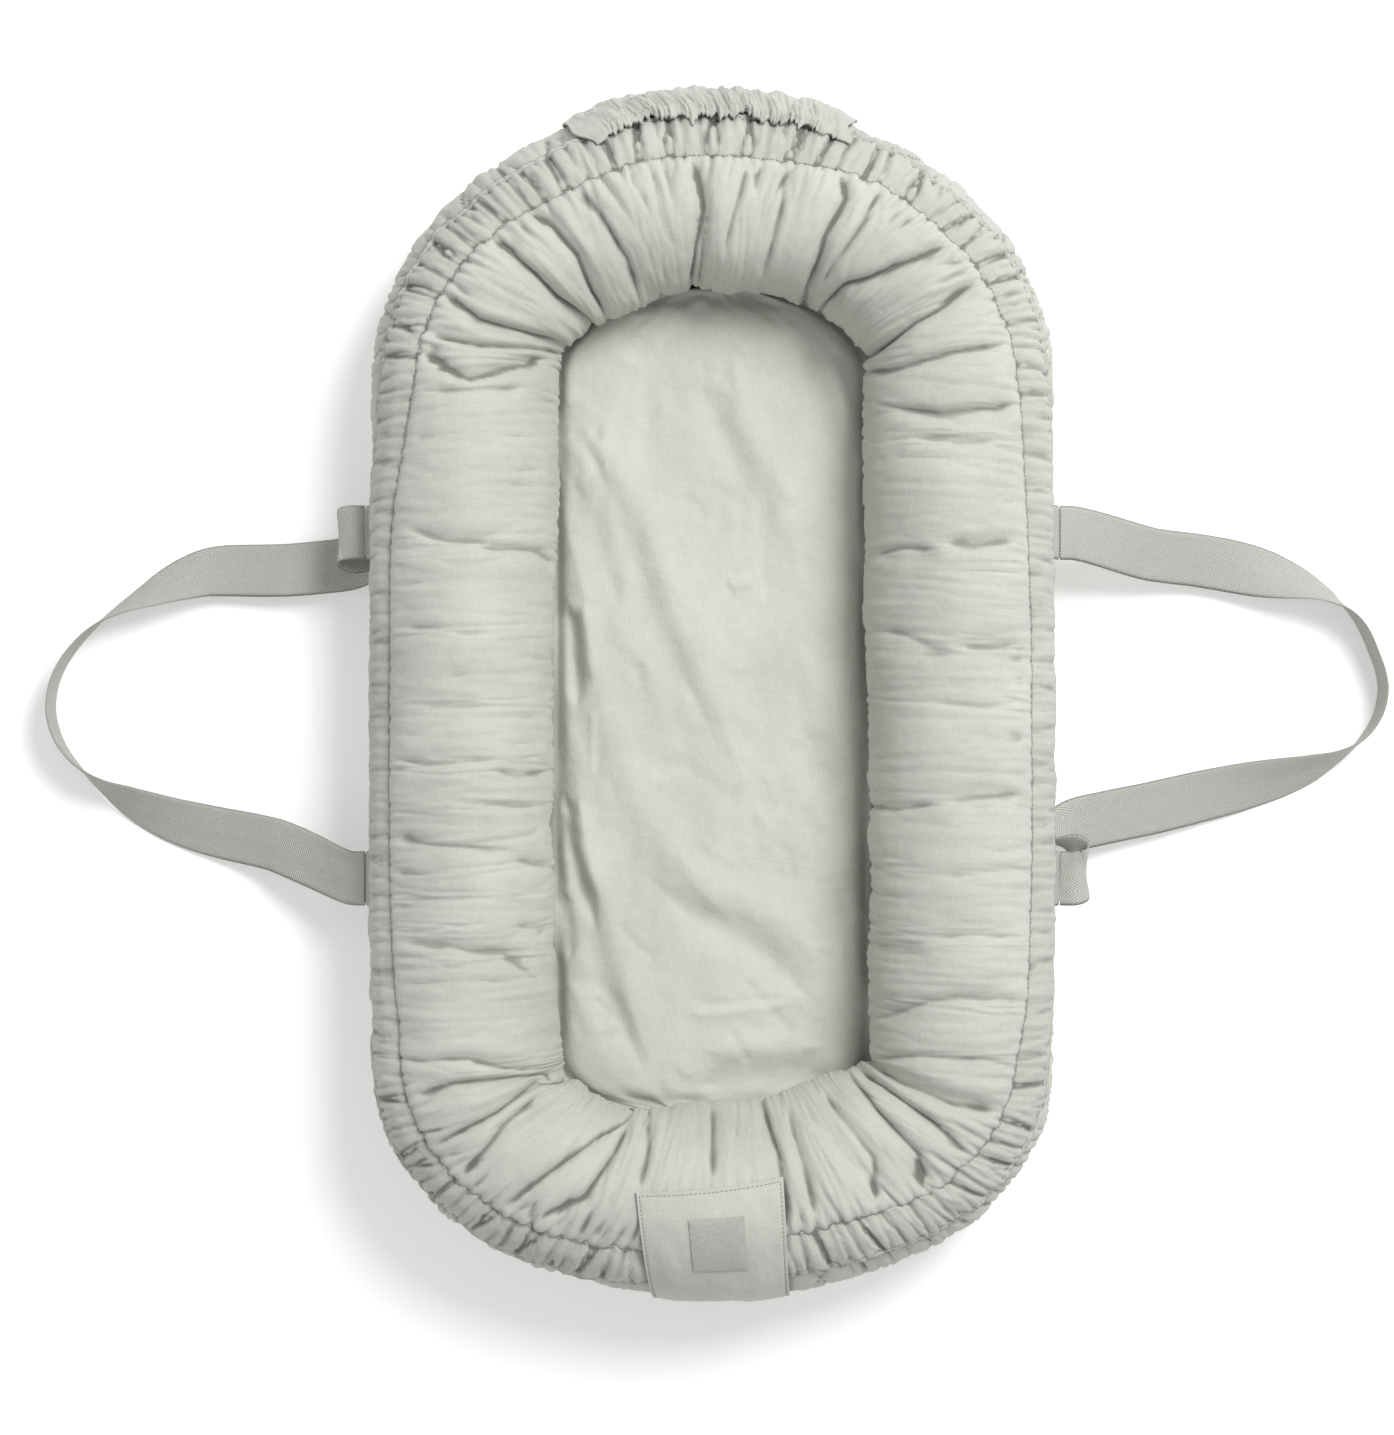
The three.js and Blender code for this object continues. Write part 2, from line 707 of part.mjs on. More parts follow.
// A ribbon through places in XYZ, each with its turn about the way it runs
function ribbon(places) {
  const half = strapThickness / 2;
  const rings = places.map((place, i) => {
    const before = places[Math.max(0, i - 1)].centre;
    const after = places[Math.min(places.length - 1, i + 1)].centre;
    const along = place.along ?? after.clone().sub(before).normalize();
    const flatWay = place.flatWay.clone().addScaledVector(along, -place.flatWay.dot(along)).normalize();
    const across = new THREE.Vector3().crossVectors(along, flatWay);
    const corner = (a, b) => place.centre.clone()
      .addScaledVector(flatWay, (a * strapWidth) / 2)
      .addScaledVector(across, b * half);
    return [corner(1, 1), corner(-1, 1), corner(-1, -1), corner(1, -1)];
  });
  return rail(rings);
}

const strapSteps = 48;

function strapPlaces(sign, shares) {
  const root = hinge(sign);
  const points = shares.map(([out, along, high, turn]) => {
    const standing = (turn * Math.PI) / 2;
    const lowest = (strapWidth / 2) * Math.sin(standing) + strapThickness * Math.cos(standing) + gap;
    const x = sign * (root.out + out * strapReach);
    const y = rootMiddle + (along * rootSpacing) / 2;
    return new THREE.Vector4(x, y, Math.max(high * root.height, lowest), turn);
  });
  const route = points.map((p) => new THREE.Vector3(p.x, p.y, p.z));
  const curve = new THREE.CatmullRomCurve3(route, false, 'centripetal');
  const places = [];
  for (let i = 0; i <= strapSteps; i++) {
    const t = i / strapSteps;
    const along = t * (points.length - 1);
    const k = Math.min(Math.floor(along), points.length - 2);
    const turn = mix(points[k].w, points[k + 1].w, along - k);
    const centre = curve.getPoint(t);
    const tangent = curve.getTangent(t);
    const end = i === 0 || i === strapSteps;
    if (end) tangent.setY(0).normalize();
    const flat = new THREE.Vector3(-tangent.y, tangent.x, 0).multiplyScalar(-sign);
    if (end) flat.set(0, 1, 0);
    const standing = (turn * Math.PI) / 2;
    const flatWay = flat.normalize().multiplyScalar(Math.cos(standing));
    flatWay.z += Math.sin(standing);
    places.push({ centre, flatWay, along: end ? tangent : null });
  }
  return places;
}

const makeStrap = (sign, shares) => ribbon(strapPlaces(sign, shares));

// A point over the bumper between two stations, on the straight line that joins them
function between(turn, place, lift) {
  const next = stations.findIndex((s) => s.turn > turn);
  const [a, b] = [stations[next - 1], stations[next]];
  return at(a, place, lift).lerp(at(b, place, lift), (turn - a.turn) / (b.turn - a.turn));
}

// The sewn-in end of a strap: up behind the casing's lip, over the outer band
function makeAnchor(sign, end) {
  const root = hinge(sign);
  const y = rootMiddle + (end * rootSpacing) / 2;
  const side = rootStations(sign);
  const turnAt = (place) => {
    const i = side.findIndex((s, k) => k > 0 && (side[k - 1].y - place) * (s.y - place) <= 0);
    const [a, b] = [side[i - 1], side[i]];
    return mix(a.turn, b.turn, (place - a.y) / (b.y - a.y));
  };
  const edges = [turnAt(y - strapWidth / 2), turnAt(y + strapWidth / 2)].sort((a, b) => a - b);
  const inside = side.map((s) => s.turn).filter((turn) => turn > edges[0] + gap && turn < edges[1] - gap);
  const column = (lift, step) => (turn) => {
    const low = between(turn, BAND_LOW, lift);
    const foot = new THREE.Vector3(sign * (root.out - gap - strapThickness / 2), low.y, root.height + step);
    return [between(turn, LIP, lift), low, foot];
  };
  const turns = [edges[0], ...inside, edges[1]];
  const half = strapThickness / 2;
  const back = turns.map(column(skinFace + gap, -half));
  const front = turns.map(column(skinFace + gap + strapThickness, half));
  return sheet(back, front);
}

// Cord lock: a barrel lying across the two cord ends, with a sprung plunger in its bore
const lockSides = 20;

function lathe(profile) {
  const points = profile.map(([radius, height]) => new THREE.Vector2(radius, height));
  const geometry = new THREE.LatheGeometry(points, lockSides);
  geometry.rotateZ(-Math.PI / 2);
  return geometry;
}

const slotHalf = cordSpacing / 2 + cordRadius + gap;
const springRoom = springTurns * springPitch;
const plungerEnd = slotHalf + lockWall;
const boreEnd = plungerEnd + pressTravel + springRoom;
const lockEnd = boreEnd + lockWall;
const plungerBore = plungerRadius + gap;
const slotDepth = cordRadius + 2 * gap;
const slotRun = 2 * (lockRadius + gap);

function cordSlot(low, high) {
  const box = new THREE.BoxGeometry(high - low, 2 * slotDepth, slotRun);
  box.translate((low + high) / 2, 0, 0);
  return box;
}

function makeLockBarrel() {
  const body = lathe([
    [0, boreEnd], [plungerBore, boreEnd], [plungerBore, -lockMouth], [lockRadius - lockEdge, -lockMouth],
    [lockRadius, -lockMouth + lockEdge], [lockRadius, lockEnd - lockEdge], [lockRadius - lockEdge, lockEnd],
    [0, lockEnd],
  ]);
  return cut(body, cordSlot(-slotHalf, slotHalf));
}

function makeLockPlunger() {
  const head = -lockMouth - pressTravel - gap - lockEdge;
  const body = lathe([
    [0, head - lockEdge], [plungerRadius - lockEdge, head - lockEdge], [plungerRadius, head],
    [plungerRadius, plungerEnd], [0, plungerEnd],
  ]);
  return cut(body, cordSlot(-slotHalf - pressTravel, slotHalf));
}

const springSteps = 8;
const springSides = 5;

// The least gap between two turns of a coiled wire, measured between the places along it
function leastGap(lines, stepsPerTurn, wire) {
  let least = Infinity;
  lines.forEach((line, i) => {
    for (let j = i + stepsPerTurn / 2; j < lines.length; j++) {
      least = Math.min(least, line.centre.distanceTo(lines[j].centre) - wire);
    }
  });
  return least;
}

function makeLockSpring() {
  const steps = springTurns * springSteps;
  const radius = plungerRadius - springWire - gap;
  const first = plungerEnd + gap + springWire / 2;
  const length = boreEnd - gap - springWire / 2 - first;
  const lines = Array.from({ length: steps + 1 }, (_, i) => {
    const angle = (TAU * i) / springSteps;
    const normal = new THREE.Vector3(0, Math.cos(angle), Math.sin(angle));
    const centre = normal.clone().multiplyScalar(radius);
    centre.x = first + (length * i) / steps;
    return { centre, normal };
  });
  const least = leastGap(lines, springSteps, springWire);
  console.log(`Least gap between the turns of the spring: ${least.toFixed(2)} mm`);
  return rail(tubeRings(lines, () => springWire / 2, springSides));
}

// Materials
function fabric(color) {
  return new THREE.MeshStandardMaterial({ color, roughness: 0.92, metalness: 0 });
}

const sage = '#c7c9c0';
const sageShade = '#b4b6ad';
const webbing = '#a7a8a2';
const labelGrey = '#abaca4';
const fibre = '#f2f1ec';
const moulded = '#9a9b94';
const steel = '#c4c6c8';

const lounger = new THREE.Group();

function addPiece(name, geometry, material, parent = lounger) {
  const mesh = new THREE.Mesh(geometry, material);
  mesh.name = name;
  parent.add(mesh);
  return mesh;
}

addPiece('base_panel', makeBasePanel(), fabric(sageShade));
addPiece('mattress_pad', makeMattressPad(), fabric(fibre));
addPiece('base_sheet', makeBaseSheet(), fabric(sage));
addPiece('bumper_filling', makeFilling(), fabric(fibre));
addPiece('bumper_cover', makeCover(), fabric(sage));
addPiece('outer_band', makeOuterBand(), fabric(sage));
addPiece('drawstring_casing', makeCasing(), fabric(sage));
addPiece('drawstring', makeDrawstring(), fabric(sageShade));
addPiece('foot_patch', makeFootPatch(), fabric(sage));
addPiece('label', makeLabel(), fabric(labelGrey));
addPiece('head_flap', makeHeadFlap(), fabric(sage));
addPiece('flap_elastic', makeFlapElastic(), fabric(fibre));
addPiece('left_strap', makeStrap(-1, leftStrapShares), fabric(webbing));
addPiece('right_strap', makeStrap(1, rightStrapShares), fabric(webbing));
for (const [side, sign] of [['left', -1], ['right', 1]]) {
  for (const [end, way] of [['head', 1], ['foot', -1]]) {
    addPiece(`${side}_${end}_strap_end`, makeAnchor(sign, way), fabric(webbing));
  }
}

const lock = new THREE.Group();
lock.position.set(0, tailY, lockHeight);
lounger.add(lock);
const plastic = (color) => new THREE.MeshStandardMaterial({ color, roughness: 0.5, metalness: 0 });
addPiece('cord_lock_barrel', makeLockBarrel(), plastic(moulded), lock);
addPiece('cord_lock_plunger', makeLockPlunger(), plastic(moulded), lock);
const steelWire = new THREE.MeshStandardMaterial({ color: steel, roughness: 0.3, metalness: 1 });
addPiece('cord_lock_spring', makeLockSpring(), steelWire, lock);

export default lounger;
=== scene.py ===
"""An infant lounger: a stuffed bumper in gathered cotton round a padded base, with two webbing
carrying straps, an elasticated head flap, a stitched foot patch and a drawstring with its lock.

Lengths are in metres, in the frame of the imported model. "turn" is the distance along the bumper's
centreline, counter-clockwise from the middle of the foot, and "out" the distance out from it.
"angle" goes round the bumper's section: 0 outwards, 90 degrees at the top, 180 inwards. "lift" is a
height over the bumper's filling."""
import math

import bmesh
import bpy
import numpy as np
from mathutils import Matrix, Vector


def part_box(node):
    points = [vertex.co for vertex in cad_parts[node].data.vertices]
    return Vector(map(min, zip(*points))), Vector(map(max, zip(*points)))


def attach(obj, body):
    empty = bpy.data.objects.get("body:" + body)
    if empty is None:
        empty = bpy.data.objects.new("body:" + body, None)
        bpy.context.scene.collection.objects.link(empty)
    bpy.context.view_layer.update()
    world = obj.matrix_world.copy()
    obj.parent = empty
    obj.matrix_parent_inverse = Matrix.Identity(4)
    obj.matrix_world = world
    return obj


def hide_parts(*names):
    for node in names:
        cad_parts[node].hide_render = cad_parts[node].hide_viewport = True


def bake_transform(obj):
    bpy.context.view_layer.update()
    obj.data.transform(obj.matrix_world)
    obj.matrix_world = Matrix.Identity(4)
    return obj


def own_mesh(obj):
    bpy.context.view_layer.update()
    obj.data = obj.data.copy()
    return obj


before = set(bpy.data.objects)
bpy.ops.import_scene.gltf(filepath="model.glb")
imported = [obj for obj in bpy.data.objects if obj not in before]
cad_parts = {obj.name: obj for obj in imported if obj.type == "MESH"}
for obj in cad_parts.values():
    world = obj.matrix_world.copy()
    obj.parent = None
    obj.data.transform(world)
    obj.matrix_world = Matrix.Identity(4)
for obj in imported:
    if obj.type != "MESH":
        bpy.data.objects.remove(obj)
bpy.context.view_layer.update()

# Photograph and camera
PHOTO_WIDTH, PHOTO_HEIGHT = 1394, 1435
CAMERA_PLACE = (-0.0109, -0.0144, 2.468)
CAMERA_LENS = 0.086
CAMERA_SENSOR = 0.036
PIXELS_PER_SLOPE = CAMERA_LENS / CAMERA_SENSOR * PHOTO_HEIGHT

# Bumper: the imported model's own sizes
RING_HALF_WIDTH = 0.1756
HEAD_START, HEAD_DEPTH = 0.225, 0.1255
FOOT_START, FOOT_DEPTH, FOOT_SQUARENESS = 0.252, 0.1015, 2.2
HEAD_DEPTH_SHARE, HEAD_SHIFT_SHARE, FOOT_DEPTH_SHARE = 1.12, -0.06, 1.015
FILL_HALF_WIDTH, FILL_MIDDLE, FILL_TOP = 0.060, 0.062, 0.135
FILL_RISE = FILL_TOP - FILL_MIDDLE
INNER_SEAM_HEIGHT = 0.028
BAND_WIDTH = 0.032
CLOTH = 0.0015
GAP = 0.0003
FLOOR_LEVEL = 0.0018
CASING_LIFT = 0.0057

TAU = 2 * math.pi


def quarter_length(width, depth):
    return math.pi / 2 * math.sqrt((width * width + depth * depth) / 2)


FOOT_QUARTER = quarter_length(RING_HALF_WIDTH, FOOT_DEPTH)
HEAD_QUARTER = quarter_length(RING_HALF_WIDTH, HEAD_DEPTH)
SIDE = HEAD_START + FOOT_START
RIGHT_TURN = FOOT_QUARTER
HEAD_TURN = RIGHT_TURN + SIDE
LEFT_TURN = HEAD_TURN + 2 * HEAD_QUARTER
FOOT_TURN = LEFT_TURN + SIDE
RING = FOOT_TURN + FOOT_QUARTER


def make_camera():
    data = bpy.data.cameras.new("camera")
    data.lens = CAMERA_LENS * 1000
    data.sensor_width = CAMERA_SENSOR * 1000
    camera = bpy.data.objects.new("camera", data)
    camera.location = CAMERA_PLACE
    bpy.context.scene.collection.objects.link(camera)
    bpy.context.scene.camera = camera


make_camera()


def smooth(value):
    value = np.clip(value, 0, 1)
    return value * value * (3 - 2 * value)


def mix(a, b, share):
    return a + (b - a) * share


def signed_power(value, power):
    return np.sign(value) * np.abs(value) ** power


def unit(vectors):
    return vectors / np.linalg.norm(vectors, axis=-1, keepdims=True)


def ring_place(turn, out):
    """Plan position at a distance along the centreline and a distance out from it."""
    turn, out = np.broadcast_arrays(np.mod(turn, RING), out)
    width = RING_HALF_WIDTH + out
    head_y = HEAD_START + HEAD_SHIFT_SHARE * out
    head_b = HEAD_DEPTH + HEAD_DEPTH_SHARE * out
    foot_b = FOOT_DEPTH + FOOT_DEPTH_SHARE * out
    power = 2 / FOOT_SQUARENESS

    def on_foot(angle):
        x = width * signed_power(np.cos(angle), power)
        return x, -FOOT_START - foot_b * np.abs(np.sin(angle)) ** power

    foot_right = on_foot(math.pi / 2 * (turn / FOOT_QUARTER - 1))
    foot_left = on_foot(math.pi + math.pi / 2 * (turn - FOOT_TURN) / FOOT_QUARTER)
    up = (turn - RIGHT_TURN) / SIDE
    down = (turn - LEFT_TURN) / SIDE
    angle = math.pi * (turn - HEAD_TURN) / (2 * HEAD_QUARTER)
    cases = [turn < RIGHT_TURN, turn < HEAD_TURN, turn < LEFT_TURN, turn < FOOT_TURN]
    x = np.select(cases, [foot_right[0], width, width * np.cos(angle), -width], foot_left[0])
    y = np.select(
        cases,
        [
            foot_right[1],
            mix(-FOOT_START, head_y, up),
            head_y + head_b * np.sin(angle),
            mix(head_y, -FOOT_START, down),
        ],
        foot_left[1],
    )
    return x, y


def over(turn, angle, lift):
    """A point over the bumper; lift is the height over its filling."""
    x, y = ring_place(turn, (FILL_HALF_WIDTH + lift) * np.cos(angle))
    z = FILL_MIDDLE + (FILL_RISE + lift) * np.sin(angle)
    return np.stack(np.broadcast_arrays(x, y, z), -1)


BAND_ANGLE = BAND_WIDTH / FILL_HALF_WIDTH
FLOOR_ANGLE = math.asin((FILL_MIDDLE - FLOOR_LEVEL) / FILL_RISE)
INNER_SEAM_ANGLE = math.pi + math.asin((FILL_MIDDLE - INNER_SEAM_HEIGHT) / FILL_RISE)


def pixel_of(points):
    """Where points show in the photograph's frame."""
    depth = CAMERA_PLACE[2] - points[..., 2]
    x = PHOTO_WIDTH / 2 + PIXELS_PER_SLOPE * (points[..., 0] - CAMERA_PLACE[0]) / depth
    y = PHOTO_HEIGHT / 2 - PIXELS_PER_SLOPE * (points[..., 1] - CAMERA_PLACE[1]) / depth
    return np.stack([x, y], -1)


def nearest_places(pixels, turns, others, point):
    """Where pixels of the photograph lie: the nearest of point's places over two ranges, sorted."""
    turns, others = np.meshgrid(turns, others, indexing="ij")
    shown = pixel_of(point(turns, others))
    nearest = [np.argmin(np.sum((shown - pixel) ** 2, -1)) for pixel in pixels]
    return np.array(sorted((turns.flat[i], others.flat[i]) for i in nearest)).T


def read_between(turn, places, values, steps, period=RING):
    """A value between the places that were read from the photograph, averaged over some steps."""
    near = np.asarray(turn, float)[..., None] + steps
    return np.interp(near, places, values, period=period).mean(-1)


def ring_offset(turn, place):
    """How far along the centreline a turn is from a place, the short way round."""
    return np.mod(turn - place + RING / 2, RING) - RING / 2


PLACE_STEP = 0.001
ALL_TURNS = np.arange(0, RING, PLACE_STEP)
ANGLE_STEP = 0.4
# The casing's upper seam as it runs in the photograph, in its pixels, from the right of the patch
SEAM_PIXELS = [
    (793, 1233), (857, 1219), (936, 1189), (992, 1133), (1012, 1080), (1027, 1013), (1032, 860),
    (1031, 640), (1026, 500), (1021, 408), (1001, 314), (969, 259), (919, 212), (884, 184),
    (832, 170), (754, 160), (672, 156), (611, 170), (568, 194), (515, 218), (483, 242), (443, 290),
    (420, 351), (408, 423), (392, 520), (390, 600), (390, 860), (392, 948), (402, 1071),
    (429, 1145), (488, 1203), (550, 1237), (643, 1250),
]
SEAM_TURNS, SEAM_ANGLES = nearest_places(
    SEAM_PIXELS,
    ALL_TURNS,
    np.radians(np.arange(15, 110, ANGLE_STEP)),
    lambda turn, angle: over(turn, angle, CLOTH),
)
SEAM_AVERAGE = np.linspace(-0.024, 0.024, 9)


def band_top_angle(turn):
    """The section angle of the casing's upper seam: smooth between its places, with its ripple."""
    return read_between(turn, SEAM_TURNS, SEAM_ANGLES, SEAM_AVERAGE) + seam_ripple(turn)


CURVE_BLEND = 0.05


def corner_share(turn):
    """0 along the straight sides and 1 in the curves of the head and the foot."""
    turn = np.mod(turn, RING)

    def between(start, end):
        begun = smooth((turn - start + CURVE_BLEND) / (2 * CURVE_BLEND))
        return begun * smooth((end + CURVE_BLEND - turn) / (2 * CURVE_BLEND))

    return np.maximum(between(HEAD_TURN, LEFT_TURN), 1 - between(RIGHT_TURN, FOOT_TURN))


PLACE_REACH = 0.004
DENSITY_SAMPLES = 4001


def ring_turns(corner_step, side_step, places=(), place_step=None):
    """Distances along the centreline, once round: closer in the curves and at the places."""
    fine = np.linspace(0, RING, DENSITY_SAMPLES)
    density = mix(1 / side_step, 1 / corner_step, corner_share(fine))
    for place in places:
        off = np.abs(ring_offset(fine, place))
        density = np.maximum(density, 1 / place_step * smooth(2 - off / PLACE_REACH))
    count = np.concatenate([[0], np.cumsum((density[1:] + density[:-1]) / 2 * np.diff(fine))])
    columns = int(round(count[-1]))
    return np.interp(np.arange(columns) / columns * count[-1], count, fine)


# Main folds of the bumper, as they run in the photograph, in its pixels: depth in metres, places
FOLDS_PIXELS = [
    (0.0060, (476, 234), (505, 244), (534, 271), (561, 300), (592, 320)),
    (0.0050, (505, 154), (520, 205), (551, 225), (575, 254), (592, 293), (607, 317)),
    (0.0048, (442, 293), (481, 317), (520, 329), (563, 343)),
    (0.0050, (381, 317), (420, 348), (466, 380), (529, 368), (551, 362)),
    (0.0035, (411, 393), (486, 388), (530, 390)),
    (0.0030, (432, 330), (480, 347), (535, 352), (560, 352)),
    (0.0026, (566, 172), (600, 215), (628, 258), (640, 300)),
    (0.0050, (694, 150), (701, 205), (694, 244), (692, 290)),
    (0.0030, (708, 200), (701, 244), (700, 290)),
    (0.0012, (745, 160), (738, 200), (728, 250)),
    (0.0014, (782, 165), (776, 215), (764, 280)),
    (0.0050, (839, 172), (844, 199), (824, 234), (814, 266), (804, 300)),
    (0.0020, (884, 186), (868, 222), (836, 262), (818, 290)),
    (0.0045, (949, 242), (894, 266), (844, 286), (822, 305)),
    (0.0055, (976, 286), (914, 321), (864, 361)),
    (0.0030, (1008, 344), (950, 352), (895, 368), (868, 374)),
    (0.0080, (869, 397), (939, 411), (996, 411), (1021, 403)),
    (0.0030, (905, 432), (960, 440), (1012, 440)),
    (0.0052, (1025, 545), (975, 553), (940, 548)),
    (0.0040, (945, 556), (905, 550), (872, 556)),
    (0.0022, (1028, 640), (992, 648), (950, 644)),
    (0.0018, (960, 650), (915, 642), (868, 632)),
    (0.0010, (1030, 700), (980, 706), (910, 700)),
    (0.0026, (1031, 798), (985, 802), (940, 800)),
    (0.0030, (950, 804), (905, 810), (868, 804)),
    (0.0012, (1030, 872), (980, 868), (930, 872)),
    (0.0022, (1030, 935), (975, 928), (925, 936)),
    (0.0016, (930, 940), (900, 946), (868, 940)),
    (0.0036, (1029, 1000), (960, 998), (905, 1012), (868, 1020)),
    (0.0040, (394, 532), (437, 540), (480, 543), (500, 549)),
    (0.0038, (468, 545), (496, 552), (533, 550), (553, 564)),
    (0.0016, (394, 628), (425, 632), (460, 638), (510, 634)),
    (0.0012, (392, 702), (450, 708), (500, 706)),
    (0.0030, (392, 757), (427, 764), (470, 765), (510, 766)),
    (0.0030, (488, 770), (520, 776), (553, 768)),
    (0.0018, (450, 806), (500, 808), (548, 813)),
    (0.0032, (391, 828), (415, 843), (470, 850), (520, 857)),
    (0.0026, (500, 862), (530, 869), (556, 875)),
    (0.0010, (392, 895), (440, 900), (490, 896)),
    (0.0052, (391, 942), (452, 945), (507, 956), (541, 986)),
    (0.0014, (505, 925), (530, 930), (552, 936)),
    (0.0050, (400, 1065), (467, 1060), (514, 1068), (570, 1070)),
    (0.0045, (413, 1098), (455, 1083), (520, 1075), (575, 1078)),
    (0.0050, (438, 1145), (497, 1112), (538, 1083), (580, 1076)),
    (0.0028, (462, 1176), (500, 1130), (540, 1092)),
    (0.0030, (505, 1209), (555, 1170), (600, 1135), (632, 1118)),
    (0.0032, (545, 1216), (585, 1196), (612, 1150), (628, 1122)),
    (0.0018, (640, 1190), (648, 1150), (650, 1120)),
    (0.0014, (712, 1180), (711, 1140), (712, 1108)),
    (0.0032, (787, 1230), (778, 1153), (763, 1103)),
    (0.0016, (812, 1215), (806, 1170), (790, 1110)),
    (0.0031, (925, 1192), (919, 1153), (878, 1112), (848, 1075)),
    (0.0019, (880, 1210), (872, 1160), (838, 1115), (825, 1092)),
    (0.0036, (970, 1155), (930, 1120), (880, 1085), (858, 1070)),
    (0.0038, (1001, 1112), (954, 1103), (895, 1080), (866, 1066)),
    (0.0029, (1018, 1060), (960, 1062), (900, 1056), (872, 1058)),
]


def side_turn(places):
    """Where a fold crosses a straight side, as a distance along the centreline; None in a curve."""
    x, y = np.array(places, float).mean(0)
    scale = (CAMERA_PLACE[2] - FILL_TOP) / PIXELS_PER_SLOPE
    along = (PHOTO_HEIGHT / 2 - y) * scale + CAMERA_PLACE[1]
    if not -FOOT_START < along < HEAD_START:
        return None
    right = RIGHT_TURN + along + FOOT_START
    return right if x > PHOTO_WIDTH / 2 else LEFT_TURN + HEAD_START - along


SIDE_FOLD_SHARE = 0.60
SIDE_FOLD_END, CURVE_FOLD_END = 0.05, 0.40
FOLD_END_RUN = 0.30
FOLD_END_AWAY = 0.02
# A fold's gentle side: a near and a far part, and how far each reaches beside its width
NEAR_PART, NEAR_REACH, FAR_PART, FAR_REACH = 0.55, 0.32, 0.45, 1.4


def to_fold(points, places, wander=0.0):
    """How far points are from a fold, in metres, on which side, and how full the fold is there."""
    pixels = pixel_of(points) + wander
    places = np.array(places, float)
    nearest = np.full(points.shape[:-1], np.inf)
    share, side = np.zeros(nearest.shape), np.zeros(nearest.shape)
    last = len(places) - 1
    for i in range(last):
        run, off = places[i + 1] - places[i], pixels - places[i]
        along = np.clip((off @ run) / (run @ run), 0, 1)
        away = np.linalg.norm(off - along[..., None] * run, axis=-1)
        closer = away < nearest
        nearest = np.where(closer, away, nearest)
        share = np.where(closer, (i + along) / last, share)
        side = np.where(closer, np.sign(run[0] * off[..., 1] - run[1] * off[..., 0]), side)
    end = CURVE_FOLD_END if side_turn(places) is None else SIDE_FOLD_END
    full = smooth(share / FOLD_END_RUN + end) * smooth((1 - share) / FOLD_END_RUN + end)
    return nearest * ((CAMERA_PLACE[2] - points[..., 2]) / PIXELS_PER_SLOPE), side, full


def fold_field(points, folds, steep, gentle, wander):
    """How deep the fabric lies in its main folds at each point, and how far it is from the nearest
    one. A fold is steep on one side, where the fabric laps over it, and gentle on the other."""
    total = np.zeros(points.shape[:-1])
    closest = np.full(total.shape, np.inf)
    for number, (depth, *places) in enumerate(folds):
        away, side, full = to_fold(points, places, wander)
        depth = depth * (1 if side_turn(places) is None else SIDE_FOLD_SHARE)
        lapped = side * (1 if number % 2 else -1) > 0
        slope = NEAR_PART * np.exp(-away / (NEAR_REACH * gentle))
        slope += FAR_PART * np.exp(-((away / (FAR_REACH * gentle)) ** 2))
        total = np.maximum(total, depth * full * np.where(lapped, np.exp(-away / steep), slope))
        closest = np.minimum(closest, away + FOLD_END_AWAY * (1 - full))
    return total, closest


TUCK_SPAN, TUCK_LEAN, TUCK_SPACING = 0.03, 0.22, (0.55, 1.5)
TUCK_GENTLE, TUCK_STEEP, TUCK_FADE = 1.5, 0.55, 0.7


def tuck_field(turns, across, stretch, tucks, width):
    """Short tucks that run from a seam: each has a place along it, a length, a lean and a depth."""
    total = np.zeros(across.shape)
    for place, length, lean, depth in tucks:
        off = ring_offset(turns[None, :], place)
        near = np.abs(off[0]) < TUCK_SPAN
        side = 1 if depth * 1e5 % 2 < 1 else -1
        away = (off[:, near] - lean * across[:, near]) * stretch[:, near] * side
        fade = np.clip(1 - across[:, near] / length, 0, 1) ** TUCK_FADE
        gentle, steep = np.exp(-away / (TUCK_GENTLE * width)), np.exp(away / (TUCK_STEEP * width))
        tuck = depth * fade * np.where(away > 0, gentle, steep)
        total[:, near] = np.maximum(total[:, near], tuck)
    return total


def random_tucks(rng, corner_gap, side_gap, corner_size, side_size):
    """Places for tucks round the ring. Each size: (shortest, longest, least depth, most depth)."""
    tucks = []
    place = 0.0
    while place < RING:
        corner = float(corner_share(place))
        short, long, shallow, deep = (mix(a, b, corner) for a, b in zip(side_size, corner_size))
        length, lean = rng.uniform(short, long), rng.normal(0, TUCK_LEAN)
        tucks.append((place, length, lean, rng.uniform(shallow, deep)))
        place += mix(side_gap, corner_gap, corner) * rng.uniform(*TUCK_SPACING)
    return tucks


RIPPLE_STEP = 0.0045
RIPPLES = np.random.default_rng(17).normal(0, 1, int(RING / RIPPLE_STEP))
SIDE_RIPPLE, CORNER_RIPPLE = 0.006, 0.015


def seam_ripple(turn):
    """The small sideways wander of the gathered seam, as an angle."""
    count = np.mod(np.asarray(turn, float), RING) / RIPPLE_STEP
    low = np.floor(count).astype(int) % len(RIPPLES)
    high = (low + 1) % len(RIPPLES)
    wander = mix(RIPPLES[low], RIPPLES[high], smooth(count - np.floor(count)))
    return wander * mix(SIDE_RIPPLE, CORNER_RIPPLE, corner_share(turn))


